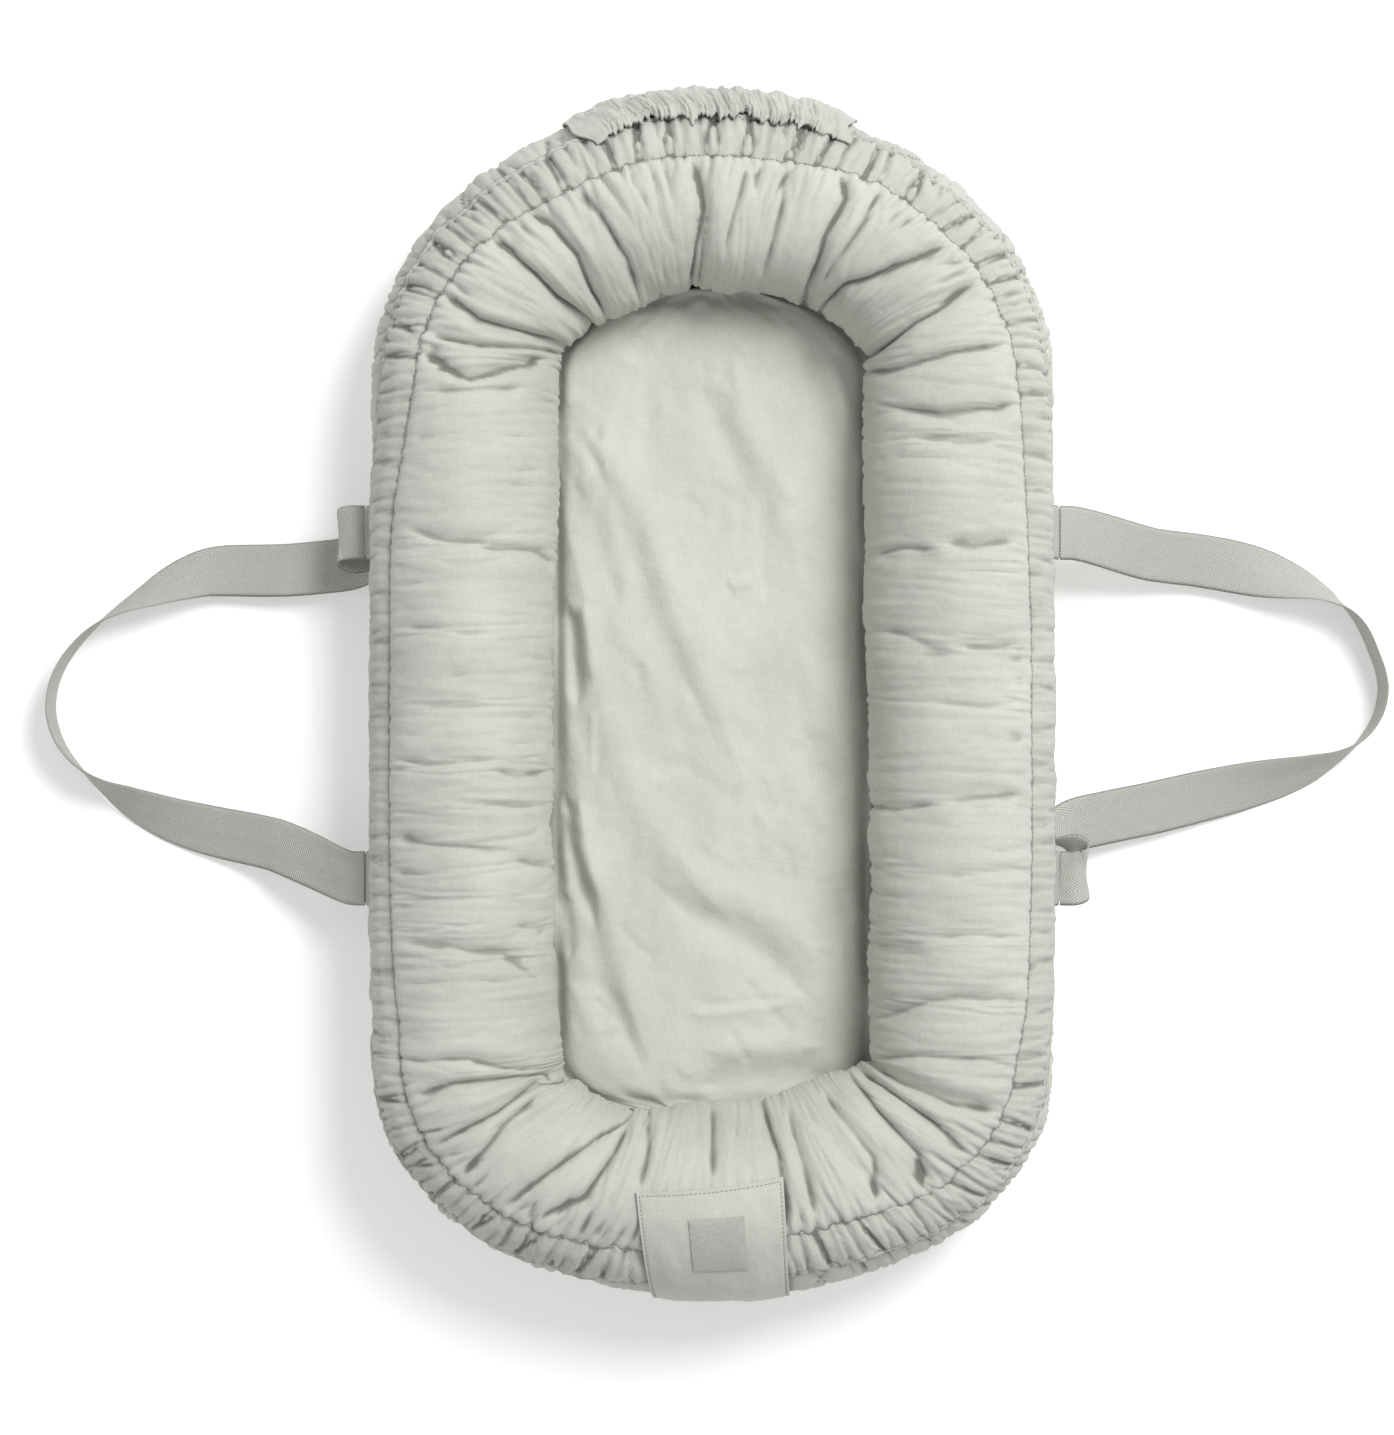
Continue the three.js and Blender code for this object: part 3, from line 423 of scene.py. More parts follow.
SEAM_GATHERS = random_tucks(
    np.random.default_rng(29), corner_gap=0.0080, side_gap=0.0080,
    corner_size=(0.012, 0.046, 0.0014, 0.0040), side_size=(0.010, 0.044, 0.0012, 0.0034),
)
SEAM_PUCKERS = random_tucks(
    np.random.default_rng(37), corner_gap=0.0042, side_gap=0.0040,
    corner_size=(0.004, 0.011, 0.0007, 0.0016), side_size=(0.003, 0.009, 0.0005, 0.0013),
)


def leaning(tucks, length_share, depth_share, lean_share):
    """The same gathers on the seam's other side."""
    return [(t[0], t[1] * length_share, t[2] * lean_share, t[3] * depth_share) for t in tucks]


def averaged(values, cells, reach, mode):
    """Rows averaged with their neighbours, by a bell curve of that many cells."""
    kernel = np.exp(-((np.arange(-reach, reach + 1) / cells) ** 2))
    kernel /= kernel.sum()
    padded = np.pad(values, ((reach, reach), (0, 0)), mode=mode)
    return sum(k * padded[i:i + len(values)] for i, k in enumerate(kernel))


def blurred(values, rows, columns):
    """Values on a ring-shaped grid, averaged over about that many cells."""
    values = averaged(values, rows, int(rows * 1.5) + 1, "edge")
    return averaged(values.T, columns, int(columns * 1.5) + 1, "wrap").T


def wave_noise(rng, shape, columns, rows):
    """Smooth seeded noise on a ring-shaped grid, with features of about columns by rows cells."""
    spectrum = np.fft.rfft(rng.normal(0, 1, shape), axis=1)
    frequency = np.arange(spectrum.shape[1]) * columns / shape[1]
    spectrum *= np.exp(-(frequency**2) * 4)
    noise = np.fft.irfft(spectrum, n=shape[1], axis=1)
    reach = int(3 * rows) + 1
    noise = averaged(noise, max(rows, 0.5), reach, "reflect" if shape[0] > reach else "edge")
    return noise / noise.std()


def crinkles(rng, shape, columns, rows):
    """Fine irregular wrinkles that run across the grid's rows: sharp valleys, from 0 down to -1."""
    noise = wave_noise(rng, shape, columns, rows)
    slope = np.abs(np.gradient(noise, axis=1))
    ridge = 1 - np.clip(np.abs(noise) / (0.45 * columns * slope + 1e-6), 0, 1)
    mask = smooth(wave_noise(rng, shape, columns * 6, rows * 1.6) * 0.5 + 0.55)
    return -ridge * mask * smooth(slope / slope.mean())


NOISE_STEP = 0.001


def ring_field(kind, rng, rows, turns, columns, across):
    """wave_noise or crinkles on an even grid round the ring, taken to the distances along it."""
    values = kind(rng, (rows, int(RING / NOISE_STEP)), columns, across)
    place = turns / RING * values.shape[1]
    low = np.floor(place).astype(int)
    share = (place - low)[None, :]
    return mix(values[:, low % values.shape[1]], values[:, (low + 1) % values.shape[1]], share)


# Cloth and meshes
def grid_normals(points):
    """Unit normals of a grid that is closed along its second axis."""
    along = np.roll(points, -1, axis=1) - np.roll(points, 1, axis=1)
    return unit(np.cross(along, np.gradient(points, axis=0)))


# How strongly a thread keeps its length, for each (rows, columns) it spans: along, across and askew
THREADS = {(0, 1): 1.0, (1, 0): 1.0, (0, 2): 0.22, (1, 1): 0.35, (1, -1): 0.35}
SETTLE_DRAG, SETTLE_ROUNDS, SETTLE_PULL = 0.86, 2, 1.4


def settle(start, base, spare_along, spare_across, hold, steps, push, floor, ceiling):
    """Cloth relaxation on a ring-shaped grid: threads keep their lengths, which are longer than the
    space they have by the spare shares, so that the fabric buckles. hold pulls places back to where
    they start, push is the filling's pressure, and floor and ceiling bound how far the cloth leaves
    its base."""
    outward = grid_normals(base)
    spares = (np.broadcast_to(spare, base.shape[:-1]) for spare in (spare_along, spare_across))
    spare_along, spare_across = spares
    lengths = {}
    for step in THREADS:
        spare = spare_across if step == (1, 0) else spare_along
        if step[0] * step[1]:
            spare = (spare_along + spare_across) / 2
        lengths[step] = pair_length(base, step) * (1 + spare)[:len(base) - step[0]]
    free = 1 - hold[..., None]
    place = before = start
    for _ in range(steps):
        speed = SETTLE_DRAG * (place - before)
        before = place
        place = place + free * (speed + push * outward)
        for _ in range(SETTLE_ROUNDS):
            move = np.zeros_like(place)
            weight = np.full(place.shape[:-1] + (1,), 1e-9)
            for step, rest in lengths.items():
                add_pull(place, step, rest, THREADS[step], move, weight)
            place = place + free * SETTLE_PULL * move / weight * np.minimum(weight, 1)
        place = mix(place, start, 0.5 * hold[..., None])
        height = np.sum((place - base) * outward, -1)
        excess = height - np.clip(height, floor, ceiling)
        place = place - excess[..., None] * outward
    return place


def thread_runs(points, step):
    """From each point of a grid to the one that many rows and columns on."""
    rows, columns = step
    return np.roll(points[rows:], -columns, axis=1) - points[:len(points) - rows]


def pair_length(points, step):
    return np.linalg.norm(thread_runs(points, step), axis=-1)


def add_pull(place, step, rest, stiffness, move, weight):
    rows, columns = step
    run = thread_runs(place, step)
    length = np.linalg.norm(run, axis=-1)
    pull = (stiffness * 0.5 * (length - rest) / length)[..., None] * run
    count = len(place) - rows
    move[:count] += pull
    move[rows:] -= np.roll(pull, columns, axis=1)
    weight[:count] += stiffness
    weight[rows:] += stiffness


def grid_mesh(name, points, closed_along=True, closed_across=False, cloth=None, depth=None):
    """A smooth mesh from a grid of points. cloth holds each point's distances along and across its
    fabric, and depth how deep it lies in a fold, which the material turns into painted shade."""
    rows, columns = points.shape[:2]
    index = np.arange(rows * columns).reshape(rows, columns)
    right = np.roll(index, -1, axis=1) if closed_along else index[:, 1:]
    left = index if closed_along else index[:, :-1]
    up = np.roll(np.arange(rows), -1) if closed_across else np.arange(1, rows)
    low = np.arange(rows) if closed_across else np.arange(rows - 1)
    faces = np.stack([left[low], right[low], right[up], left[up]], -1).reshape(-1, 4)
    mesh = bpy.data.meshes.new(name)
    mesh.vertices.add(rows * columns)
    mesh.vertices.foreach_set("co", points.astype(np.float32).ravel())
    mesh.loops.add(faces.size)
    mesh.loops.foreach_set("vertex_index", faces.ravel().astype(np.int32))
    mesh.polygons.add(len(faces))
    mesh.polygons.foreach_set("loop_start", np.arange(0, faces.size, 4, dtype=np.int32))
    mesh.polygons.foreach_set("loop_total", np.full(len(faces), 4, dtype=np.int32))
    mesh.update(calc_edges=True)
    cloth = cloth_lengths(points) if cloth is None else cloth
    depth = np.zeros((rows, columns)) if depth is None else depth
    threads = mesh.attributes.new("cloth", "FLOAT_VECTOR", "POINT")
    threads.data.foreach_set("vector", cloth.astype(np.float32).ravel())
    # The fold attribute carries painted shade: how dark the material makes each place
    shade = mesh.attributes.new("fold", "FLOAT", "POINT")
    shade.data.foreach_set("value", depth.astype(np.float32).ravel())
    mesh.shade_smooth()
    return link(name, mesh)


def link(name, data):
    obj = bpy.data.objects.new(name, data)
    bpy.context.scene.collection.objects.link(obj)
    return obj


def cloth_lengths(points):
    """Distances along and across a grid, as its fabric's own coordinates."""
    along = np.linalg.norm(np.diff(points, axis=1), axis=-1).mean(0)
    across = np.linalg.norm(np.diff(points, axis=0), axis=-1).mean(1)
    u, v = np.meshgrid(np.append(0, np.cumsum(along)), np.append(0, np.cumsum(across)))
    return np.stack([u, v, np.zeros_like(u)], -1)


def opened(mesh):
    """A mesh's corners and faces, to build on."""
    build = bmesh.new()
    build.from_mesh(mesh)
    build.verts.ensure_lookup_table()
    return build


def closed(mesh, build):
    """Puts built corners and faces back into their mesh, facing outward."""
    bmesh.ops.recalc_face_normals(build, faces=build.faces)
    build.to_mesh(mesh)
    build.free()
    mesh.shade_smooth()


def fill_ends(obj, sides):
    """Closes the first and last rings of a lofted mesh, which each have that many points."""
    build = opened(obj.data)
    count = len(build.verts)
    for end in (range(sides)[::-1], range(count - sides, count)):
        build.faces.new([build.verts[i] for i in end])
    closed(obj.data, build)
    return obj


def sheet_mesh(name, top, under, depth=None):
    """A thin sheet between two open grids, closed round its edges."""
    obj = grid_mesh(name, top, closed_along=False, depth=depth)
    build = opened(obj.data)
    front = list(build.verts)
    threads = build.verts.layers.float_vector["cloth"]
    back = []
    for vert, place in zip(front, under.reshape(-1, 3)):
        copy = build.verts.new(place)
        copy[threads] = vert[threads]
        back.append(copy)
    for face in list(build.faces):
        build.faces.new([back[v.index] for v in reversed(face.verts)])
    index = np.arange(len(front)).reshape(under.shape[:2])
    rim = [*index[0], *index[1:, -1], *index[-1, -2::-1], *index[-2:0:-1, 0]]
    for a, b in zip(rim, rim[1:] + rim[:1]):
        build.faces.new([front[b], front[a], back[a], back[b]])
    closed(obj.data, build)
    return obj


def unit_grid(columns, rows):
    """Shares across and down a grid, each from 0 to 1."""
    return np.meshgrid(np.linspace(0, 1, columns), np.linspace(0, 1, rows))


def lengths_along(path):
    """Distances along a path of points, from its first one."""
    return np.append(0, np.cumsum(np.linalg.norm(np.diff(path, axis=0), axis=1)))


# The bumper's inner edge as it shows in the photograph, in its pixels, from the middle of the foot
INNER_EDGE_PIXELS = [
    (708, 1104), (762, 1101), (815, 1081), (845, 1071), (870, 1064), (872, 1040), (868, 996),
    (872, 908), (870, 780), (871, 692), (865, 604), (868, 524), (865, 468), (866, 400), (866, 366),
    (853, 340), (827, 314), (816, 303), (782, 296), (740, 292), (698, 289), (670, 292), (642, 305),
    (612, 318), (585, 328), (565, 350), (559, 390), (557, 436), (556, 480), (557, 555), (551, 590),
    (550, 690), (550, 770), (551, 843), (552, 932), (556, 1000), (561, 1056), (568, 1073),
    (583, 1088), (612, 1104), (635, 1113), (668, 1108),
]
INNER_LIFT, INNER_SPREAD = 0.0042, 0.62
# How much further in than its filling the bumper's fabric stands, at places along the centreline
INNER_TURNS, INNER_REACH = nearest_places(
    INNER_EDGE_PIXELS,
    ALL_TURNS,
    np.arange(-0.010, 0.020, 0.0005),
    lambda turn, reach: over(turn, math.pi, INNER_LIFT + reach),
)
INNER_AVERAGE = np.linspace(-0.010, 0.010, 5)


def inner_reach(turn, angle):
    reach = read_between(turn, INNER_TURNS, INNER_REACH, INNER_AVERAGE)
    return reach * np.exp(-(((angle - math.pi) / INNER_SPREAD) ** 2))


def base_grid(turns, low, high, rows, lift):
    """Places over the bumper between two section angles, with the distances across from the first
    row and how much longer than the centreline each row is."""
    angle = mix(low, high, np.linspace(0, 1, rows)[:, None])
    base = over(turns[None, :], angle, lift + inner_reach(turns[None, :], angle))
    steps = np.linalg.norm(np.diff(base, axis=0), axis=-1)
    across = np.concatenate([np.zeros((1, len(turns))), np.cumsum(steps, axis=0)])
    stretch = pair_length(base, (0, 1)) / np.diff(np.append(turns, turns[0] + RING))
    return base, across, stretch


PROBE_LIFT = 0.01
DEEPEST_SHADE = 0.01


def section_outward(turns, low, high, base):
    """Unit directions out of the bumper's section, at the places of a grid between two angles."""
    angle = mix(low, high, np.linspace(0, 1, len(base))[:, None])
    return unit(over(turns[None, :], angle, PROBE_LIFT) - base)


def plain_face(turns, low, high, lifts):
    """A plain face over the bumper between two section angles, with a row at each lift."""
    lifts = np.array(lifts)[:, None]
    return over(turns[None, :], mix(low, high, np.linspace(0, 1, len(lifts))[:, None]), lifts)


def shade_depth(height, cells, strength):
    """How deep each place lies below its surroundings: the painted shade that the material lays in
    its folds.
    """
    return np.clip(blurred(height, cells, cells) - height, 0, DEEPEST_SHADE) * strength


def ring_shell(name, front, back, depth):
    """A closed fabric body round the ring: a worked front face and a plain back face behind it."""
    points = np.concatenate([front, back[::-1]])
    depth = np.concatenate([depth, depth[-1:].repeat(len(back), axis=0)])
    return grid_mesh(name, points, closed_across=True, depth=depth)


# Materials
class Nodes:
    """A short way to write a material's nodes."""

    def __init__(self, name):
        self.material = bpy.data.materials.new(name)
        self.material.use_nodes = True
        self.tree = self.material.node_tree
        self.shader = self.tree.nodes["Principled BSDF"]

    def put(self, node, sockets):
        for socket, value in sockets.items():
            if isinstance(value, bpy.types.NodeSocket):
                self.tree.links.new(value, node.inputs[socket])
            elif value is not None:
                node.inputs[socket].default_value = value

    def add(self, kind, inputs=(), **settings):
        node = self.tree.nodes.new(kind)
        for key, value in settings.items():
            setattr(node, key, value)
        self.put(node, dict(inputs))
        return node

    def math(self, operation, *values):
        return self.add("ShaderNodeMath", dict(enumerate(values)), operation=operation).outputs[0]

    def place(self):
        return self.add("ShaderNodeTexCoord").outputs["Object"]

    def parts(self, vector):
        return self.add("ShaderNodeSeparateXYZ", {0: vector}).outputs

    def noise(self, vector, scale, detail=3.0, stretch=None, roughness=0.55):
        if stretch is not None:
            stretched = {0: vector, 1: stretch}
            vector = self.add("ShaderNodeVectorMath", stretched, operation="MULTIPLY").outputs[0]
        inputs = {"Vector": vector, "Scale": scale, "Detail": detail, "Roughness": roughness}
        return self.add("ShaderNodeTexNoise", inputs).outputs["Fac"]

    def wave(self, value, pitch):
        return self.math("SINE", self.math("MULTIPLY", value, TAU / pitch))

    def weave(self, vector, pitch):
        parts = self.parts(vector)
        return self.math("MULTIPLY", *[self.wave(parts[i], pitch) for i in (0, 1)])

    def ramp(self, value, low, high, start=0.0, end=1.0):
        inputs = {0: value, 1: low, 2: high, 3: start, 4: end}
        return self.add("ShaderNodeMapRange", inputs).outputs[0]

    def blend(self, share, a, b):
        return self.add("ShaderNodeMix", {0: share, 6: a, 7: b}, data_type="RGBA").outputs[2]

    def bump(self, height, distance, normal=None):
        inputs = {"Height": height, "Distance": distance, "Strength": 1.0, "Normal": normal}
        return self.add("ShaderNodeBump", inputs).outputs[0]

    def attribute(self, name, output):
        return self.add("ShaderNodeAttribute", attribute_name=name).outputs[output]

    def finish(self, color, normal, roughness=0.9, **sockets):
        sockets = {"Base Color": color, "Normal": normal, "Roughness": roughness, **sockets}
        self.put(self.shader, sockets)
        return self.material


def rgba(red, green, blue):
    """A colour given as it looks, 0 to 255, as the linear values that a shader takes."""
    shown = [c / 255 for c in (red, green, blue)]
    return (*(((c + 0.055) / 1.055) ** 2.4 if c > 10 / 255 else c / 12.92 for c in shown), 1.0)


def sage(level):
    return rgba(level, level + 1, level - 7)


THREAD_PITCH = 0.0009
FOLD_SHADE_RANGE = (0.0013, 0.0052)


def cotton(name, light, dark, crumple=1.0):
    """Washed plain-weave cotton: uneven threads both ways, a soft crumple and painted shade in its
    folds.
    """
    n = Nodes(name)
    threads = n.attribute("cloth", "Vector")
    place = n.place()
    along, across = (90.0, 1400.0, 1.0), (1400.0, 90.0, 1.0)
    slub = n.math("ADD", *[n.noise(threads, 1.0, 2.0, way) for way in (along, across)])
    weave = n.weave(threads, THREAD_PITCH)
    mottle = n.noise(place, 14.0)
    tone = n.math("ADD", n.ramp(slub, 0.8, 1.2, 0.0, 0.5), n.ramp(mottle, 0.35, 0.65, 0.0, 0.5))
    # Painted shade: the deeper the fold attribute says a place lies in a crease, the nearer its
    # colour goes to the crease shade colour.
    crease_shade = n.ramp(n.attribute("fold", "Fac"), *FOLD_SHADE_RANGE)
    color = n.blend(crease_shade, n.blend(tone, dark, light), CREASE_SHADE_COLOR)
    soft = n.bump(n.noise(place, 46.0, roughness=0.5), 0.0011 * crumple)
    fine = n.bump(n.noise(place, 170.0, 4.0, roughness=0.6), 0.00035 * crumple, soft)
    normal = n.bump(weave, 0.00003, n.bump(slub, 0.00010, fine))
    sheen = {"Sheen Weight": 0.12, "Sheen Roughness": 0.6, "Specular IOR Level": 0.25}
    return n.finish(color, normal, n.ramp(slub, 0.8, 1.2, 0.86, 0.97), **sheen)


TWILL_PITCH, TWILL_ROW, YARN_SHARE = 0.0022, 0.0095, 0.62


def webbing(name, light, dark):
    """Herringbone tape: ribs that lean one way and then the other across its width."""
    n = Nodes(name)
    along, across, _ = n.parts(n.attribute("cloth", "Vector"))
    row = n.math("PINGPONG", across, TWILL_ROW)
    ribs = n.wave(n.math("ADD", along, row), TWILL_PITCH)
    yarn = n.wave(n.math("SUBTRACT", along, row), TWILL_PITCH * YARN_SHARE)
    height = n.math("ADD", n.math("MULTIPLY", ribs, 0.75), n.math("MULTIPLY", yarn, 0.25))
    mottle = n.noise(n.place(), 700.0)
    # Painted shade: the colour follows the ribs' height, darker in the valleys between them, over a
    # real mottle.
    tone = n.math("ADD", n.ramp(height, -1.0, 1.0, 0.0, 0.8), n.ramp(mottle, 0.3, 0.7, 0.0, 0.2))
    normal = n.bump(height, 0.00030, n.bump(mottle, 0.0002))
    roughness = n.ramp(height, -1.0, 1.0, 0.95, 0.84)
    return n.finish(n.blend(tone, dark, light), normal, roughness, **{"Sheen Weight": 0.1})


def plain_weave(name, light, dark, pitch, depth):
    """A close, even weave, as on a woven label, elastic or cord."""
    n = Nodes(name)
    place = n.place()
    grain = n.noise(place, 500.0)
    normal = n.bump(n.weave(place, pitch), depth, n.bump(grain, depth))
    color = n.blend(n.ramp(grain, 0.3, 0.7), dark, light)
    return n.finish(color, normal, n.ramp(grain, 0.2, 0.8, 0.8, 0.95))


def moulded(name, color, shade, roughness, metallic=0.0):
    """Moulded plastic or drawn wire, with a fine texture and slightly uneven gloss."""
    n = Nodes(name)
    place = n.place()
    grain = n.noise(place, 1600.0, 4.0)
    tone = n.blend(n.ramp(n.noise(place, 120.0), 0.3, 0.7), shade, color)
    gloss = n.ramp(grain, 0.3, 0.7, roughness - 0.06, roughness + 0.08)
    return n.finish(tone, n.bump(grain, 0.00003), gloss, Metallic=metallic)


def fibre(name, light, dark):
    """Fluffed polyester fibre, seen only where the covers are taken off."""
    n = Nodes(name)
    place = n.place()
    tufts = n.noise(place, 60.0, 6.0, roughness=0.7)
    strands = n.noise(place, 700.0, 2.0, (1.0, 0.2, 1.0))
    color = n.blend(n.ramp(tufts, 0.3, 0.7), dark, light)
    normal = n.bump(strands, 0.0004, n.bump(tufts, 0.002))
    return n.finish(color, normal, 0.95, **{"Sheen Weight": 0.3})


# The dark colour that the cotton's painted crease shade goes to
CREASE_SHADE_COLOR = sage(122)
cover_cotton = cotton("sage_cotton", sage(202), sage(184))
# The cover's sage cotton painted darker for the casing, band and head flap: painted shade
shaded_band_cotton = cotton("sage_cotton_shaded_band", sage(195), sage(176))
# The cover's sage cotton painted lighter for the base sheet: painted light against the well's shade
lit_base_cotton = cotton("sage_cotton_lit_base", sage(208), sage(193), crumple=1.3)
under_cotton = cotton("underside_cotton", rgba(186, 188, 179), rgba(174, 176, 167))
strap_webbing = webbing("webbing", rgba(215, 216, 209), rgba(150, 151, 144))
label_weave = plain_weave("label_weave", sage(186), sage(172), 0.0010, 0.00008)
# The thread is painted darker than it is: painted shade of the seam's groove and its needle holes.
thread = plain_weave("sewing_thread_and_groove_shade", rgba(158, 160, 151), rgba(140, 142, 133), 0.0006, 0.00004)
elastic_weave = plain_weave("elastic", rgba(232, 231, 225), rgba(214, 213, 207), 0.0007, 0.00006)
cord_cotton = plain_weave("cotton_cord", rgba(192, 194, 185), rgba(172, 174, 165), 0.0008, 0.00010)
fill_fibre = fibre("fibre_fill", rgba(240, 239, 234), rgba(222, 221, 215))
lock_plastic = moulded("moulded_plastic", rgba(150, 151, 144), rgba(140, 141, 134), 0.45)
spring_steel = moulded("spring_steel", rgba(198, 200, 203), rgba(176, 178, 182), 0.25, 1.0)


def finish_piece(obj, material, body, slot, *nodes):
    obj.data.materials.append(material)
    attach(obj, body)
    if nodes:
        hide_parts(*nodes)
    return obj


# Bumper
COVER_ROWS = 54
COVER_STEP, COVER_SIDE_STEP, COVER_FOLD_STEP = 0.0014, 0.0018, 0.0008
COVER_SETTLING, COVER_BOUNDS = 16, (-0.0070, 0.0060)
SPARE_ACROSS = 0.010
COVER_LIFT = 0.001
COVER_BACK_LIFTS = [-0.0095] * 7
FOLD_STEEP, FOLD_GENTLE, FOLD_HELD = 0.0012, 0.0054, 0.004
GATHER_WIDTH, PUCKER_WIDTH, INNER_TUCK_WIDTH = 0.0017, 0.0010, 0.0020
# How the cloth swells over the filling, next to its outer seam and between two folds
PUFF, SEAM_PUFF, PILLOW, PILLOW_REACH, PILLOW_SUNK = 0.0028, 0.0013, 0.0026, 0.010, 0.0008
PUSH = 0.00002
LOWEST, HIGHEST, SHALLOWER_AT_SEAM = -0.0085, 0.0075, 0.0060
PIT, CORNER_PIT = 0.0015, 0.0017
# Fine wrinkles: height, length along the ring, rows across
FINE_WRINKLES = ((0.0017, 0.0046, 11), (0.0012, 0.0030, 6), (0.0012, 0.010, 7))


def cover_surface():
    rng = np.random.default_rng(11)
    places = [turn for _, *fold in FOLDS_PIXELS if (turn := side_turn(fold)) is not None]
    turns = ring_turns(COVER_STEP, COVER_SIDE_STEP, places, COVER_FOLD_STEP)
    top = band_top_angle(turns)
    base, across, stretch = base_grid(turns, top, INNER_SEAM_ANGLE, COVER_ROWS, COVER_LIFT)
    outward = grid_normals(base)
    corner = corner_share(turns)[None, :]
    total = across[-1:]
    share = across / total
    cell = COVER_ROWS / 60

    def noise(along, rows, kind=wave_noise):
        return ring_field(kind, rng, COVER_ROWS, turns, along / NOISE_STEP, rows * cell)

    wander = np.stack([noise(0.012, 9), noise(0.012, 9)], -1) * (2.8 - 1.4 * corner[..., None])
    main, away = fold_field(base, FOLDS_PIXELS, FOLD_STEEP, FOLD_GENTLE, wander)
    inner_tucks = random_tucks(
        rng, corner_gap=0.045, side_gap=0.0095,
        corner_size=(0.020, 0.060, 0.0010, 0.0028), side_size=(0.008, 0.036, 0.0008, 0.0024),
    )
    outer = tuck_field(turns, across, stretch, SEAM_GATHERS, GATHER_WIDTH)
    outer = np.maximum(outer, tuck_field(turns, across, stretch, SEAM_PUCKERS, PUCKER_WIDTH))
    inner = tuck_field(turns, total - across, stretch, inner_tucks, INNER_TUCK_WIDTH)
    soft = noise(0.010, 9) * 0.0004 * (0.5 + corner) + noise(0.026, 8) * 0.0008
    edge = smooth(share / 0.08) * smooth((1 - share) / 0.08)
    puff = PUFF * np.sqrt(np.clip(np.sin(math.pi * np.clip(share, 0, 1)), 0, 1))
    puff += SEAM_PUFF * (1 - smooth(share / 0.07))
    pillow = PILLOW * (1 - np.exp(-away / PILLOW_REACH)) - PILLOW_SUNK
    sunk = np.maximum(main, np.maximum(outer, inner)) * (0.4 + 0.6 * edge)
    start = base + outward * (puff + edge * (soft + pillow) - sunk)[..., None]
    hold = np.clip(main / FOLD_HELD, 0, 1) ** 2 * 0.6
    hold[[0, -1]] = 1
    near_outer, near_inner = np.exp(-across / 0.020), np.exp(-(total - across) / 0.030)
    along = 0.012 + 0.020 * corner + (0.02 + 0.12 * corner) * near_outer
    along += (0.02 - 0.01 * corner) * near_inner
    place = settle(start, base, along, SPARE_ACROSS, hold, COVER_SETTLING, PUSH, *COVER_BOUNDS)
    height = np.sum((place - base) * outward, -1)
    side_way = place - base - height[..., None] * outward
    height = height + 0.7 * (height - blurred(height, 3, 3)) - (0.12 + 0.16 * corner) * sunk
    fine = sum(noise(length, rows, crinkles) * high for high, length, rows in FINE_WRINKLES)
    fine += noise(0.0070, 18, crinkles) * 0.0015 * (1 - 0.75 * corner) + noise(0.0060, 9) * 0.0002
    rim = np.exp(-across / 0.018) + np.exp(-(total - across) / 0.024) * (1 - 0.9 * corner)
    height = blurred(height + edge * fine * (0.75 + 0.9 * rim), 0.7, 0.75)
    pit = np.minimum(height - blurred(height, 4, 4), 0)
    deepest = PIT + CORNER_PIT * corner
    height = height - pit + deepest * np.tanh(pit / deepest)
    lowest = LOWEST + SHALLOWER_AT_SEAM * smooth((share - 0.78) / 0.16)
    height = np.where(height < 0, lowest * np.tanh(height / lowest), height)
    height = np.minimum(height, HIGHEST)
    place = base + outward * height[..., None] + side_way
    # The last value is painted shade for the cover's creases and hollows.
    return turns, top, place, shade_depth(height, 3.6, 2.5)


def make_cover():
    turns, top, front, depth = cover_surface()
    back = plain_face(turns, top, INNER_SEAM_ANGLE, COVER_BACK_LIFTS)
    obj = ring_shell("cover_cloth", front, back, depth)
    finish_piece(obj, cover_cotton, "nest", "sage_cotton", "bumper_cover")
    return obj


BAND_ROWS = 28
BAND_STEP, BAND_SIDE_STEP = 0.0012, 0.0017
BAND_SETTLING, BAND_BOUNDS = 14, (-0.0062, 0.004)
CASING_BACK_LIFTS = (-0.0012, -0.0036, -0.0026, -0.0010, 0.0024)
LOWER_STITCH_SHARE = 0.93
LOWER_STITCH_ROW = int(LOWER_STITCH_SHARE * (BAND_ROWS - 1))
CORD_SHARE, CORD_RISE = 0.22, 0.0022
SEAM_LAP = 0.014
PLEAT_WIDTH, LARGE_PLEAT_WIDTH, SWELL_WIDTH = 0.0015, 0.0021, 0.0044
CALM_TURN, CALM_WIDTH, CALM_REACH, CALM_SHARE = 0.11, 0.07, 0.2, 0.62


def calm_share(turn):
    """How strongly the casing is gathered: less to the right of the foot patch."""
    off = np.mod(turn + CALM_REACH, RING) - CALM_TURN - CALM_REACH
    return 1 - CALM_SHARE * np.exp(-((off / CALM_WIDTH) ** 2))


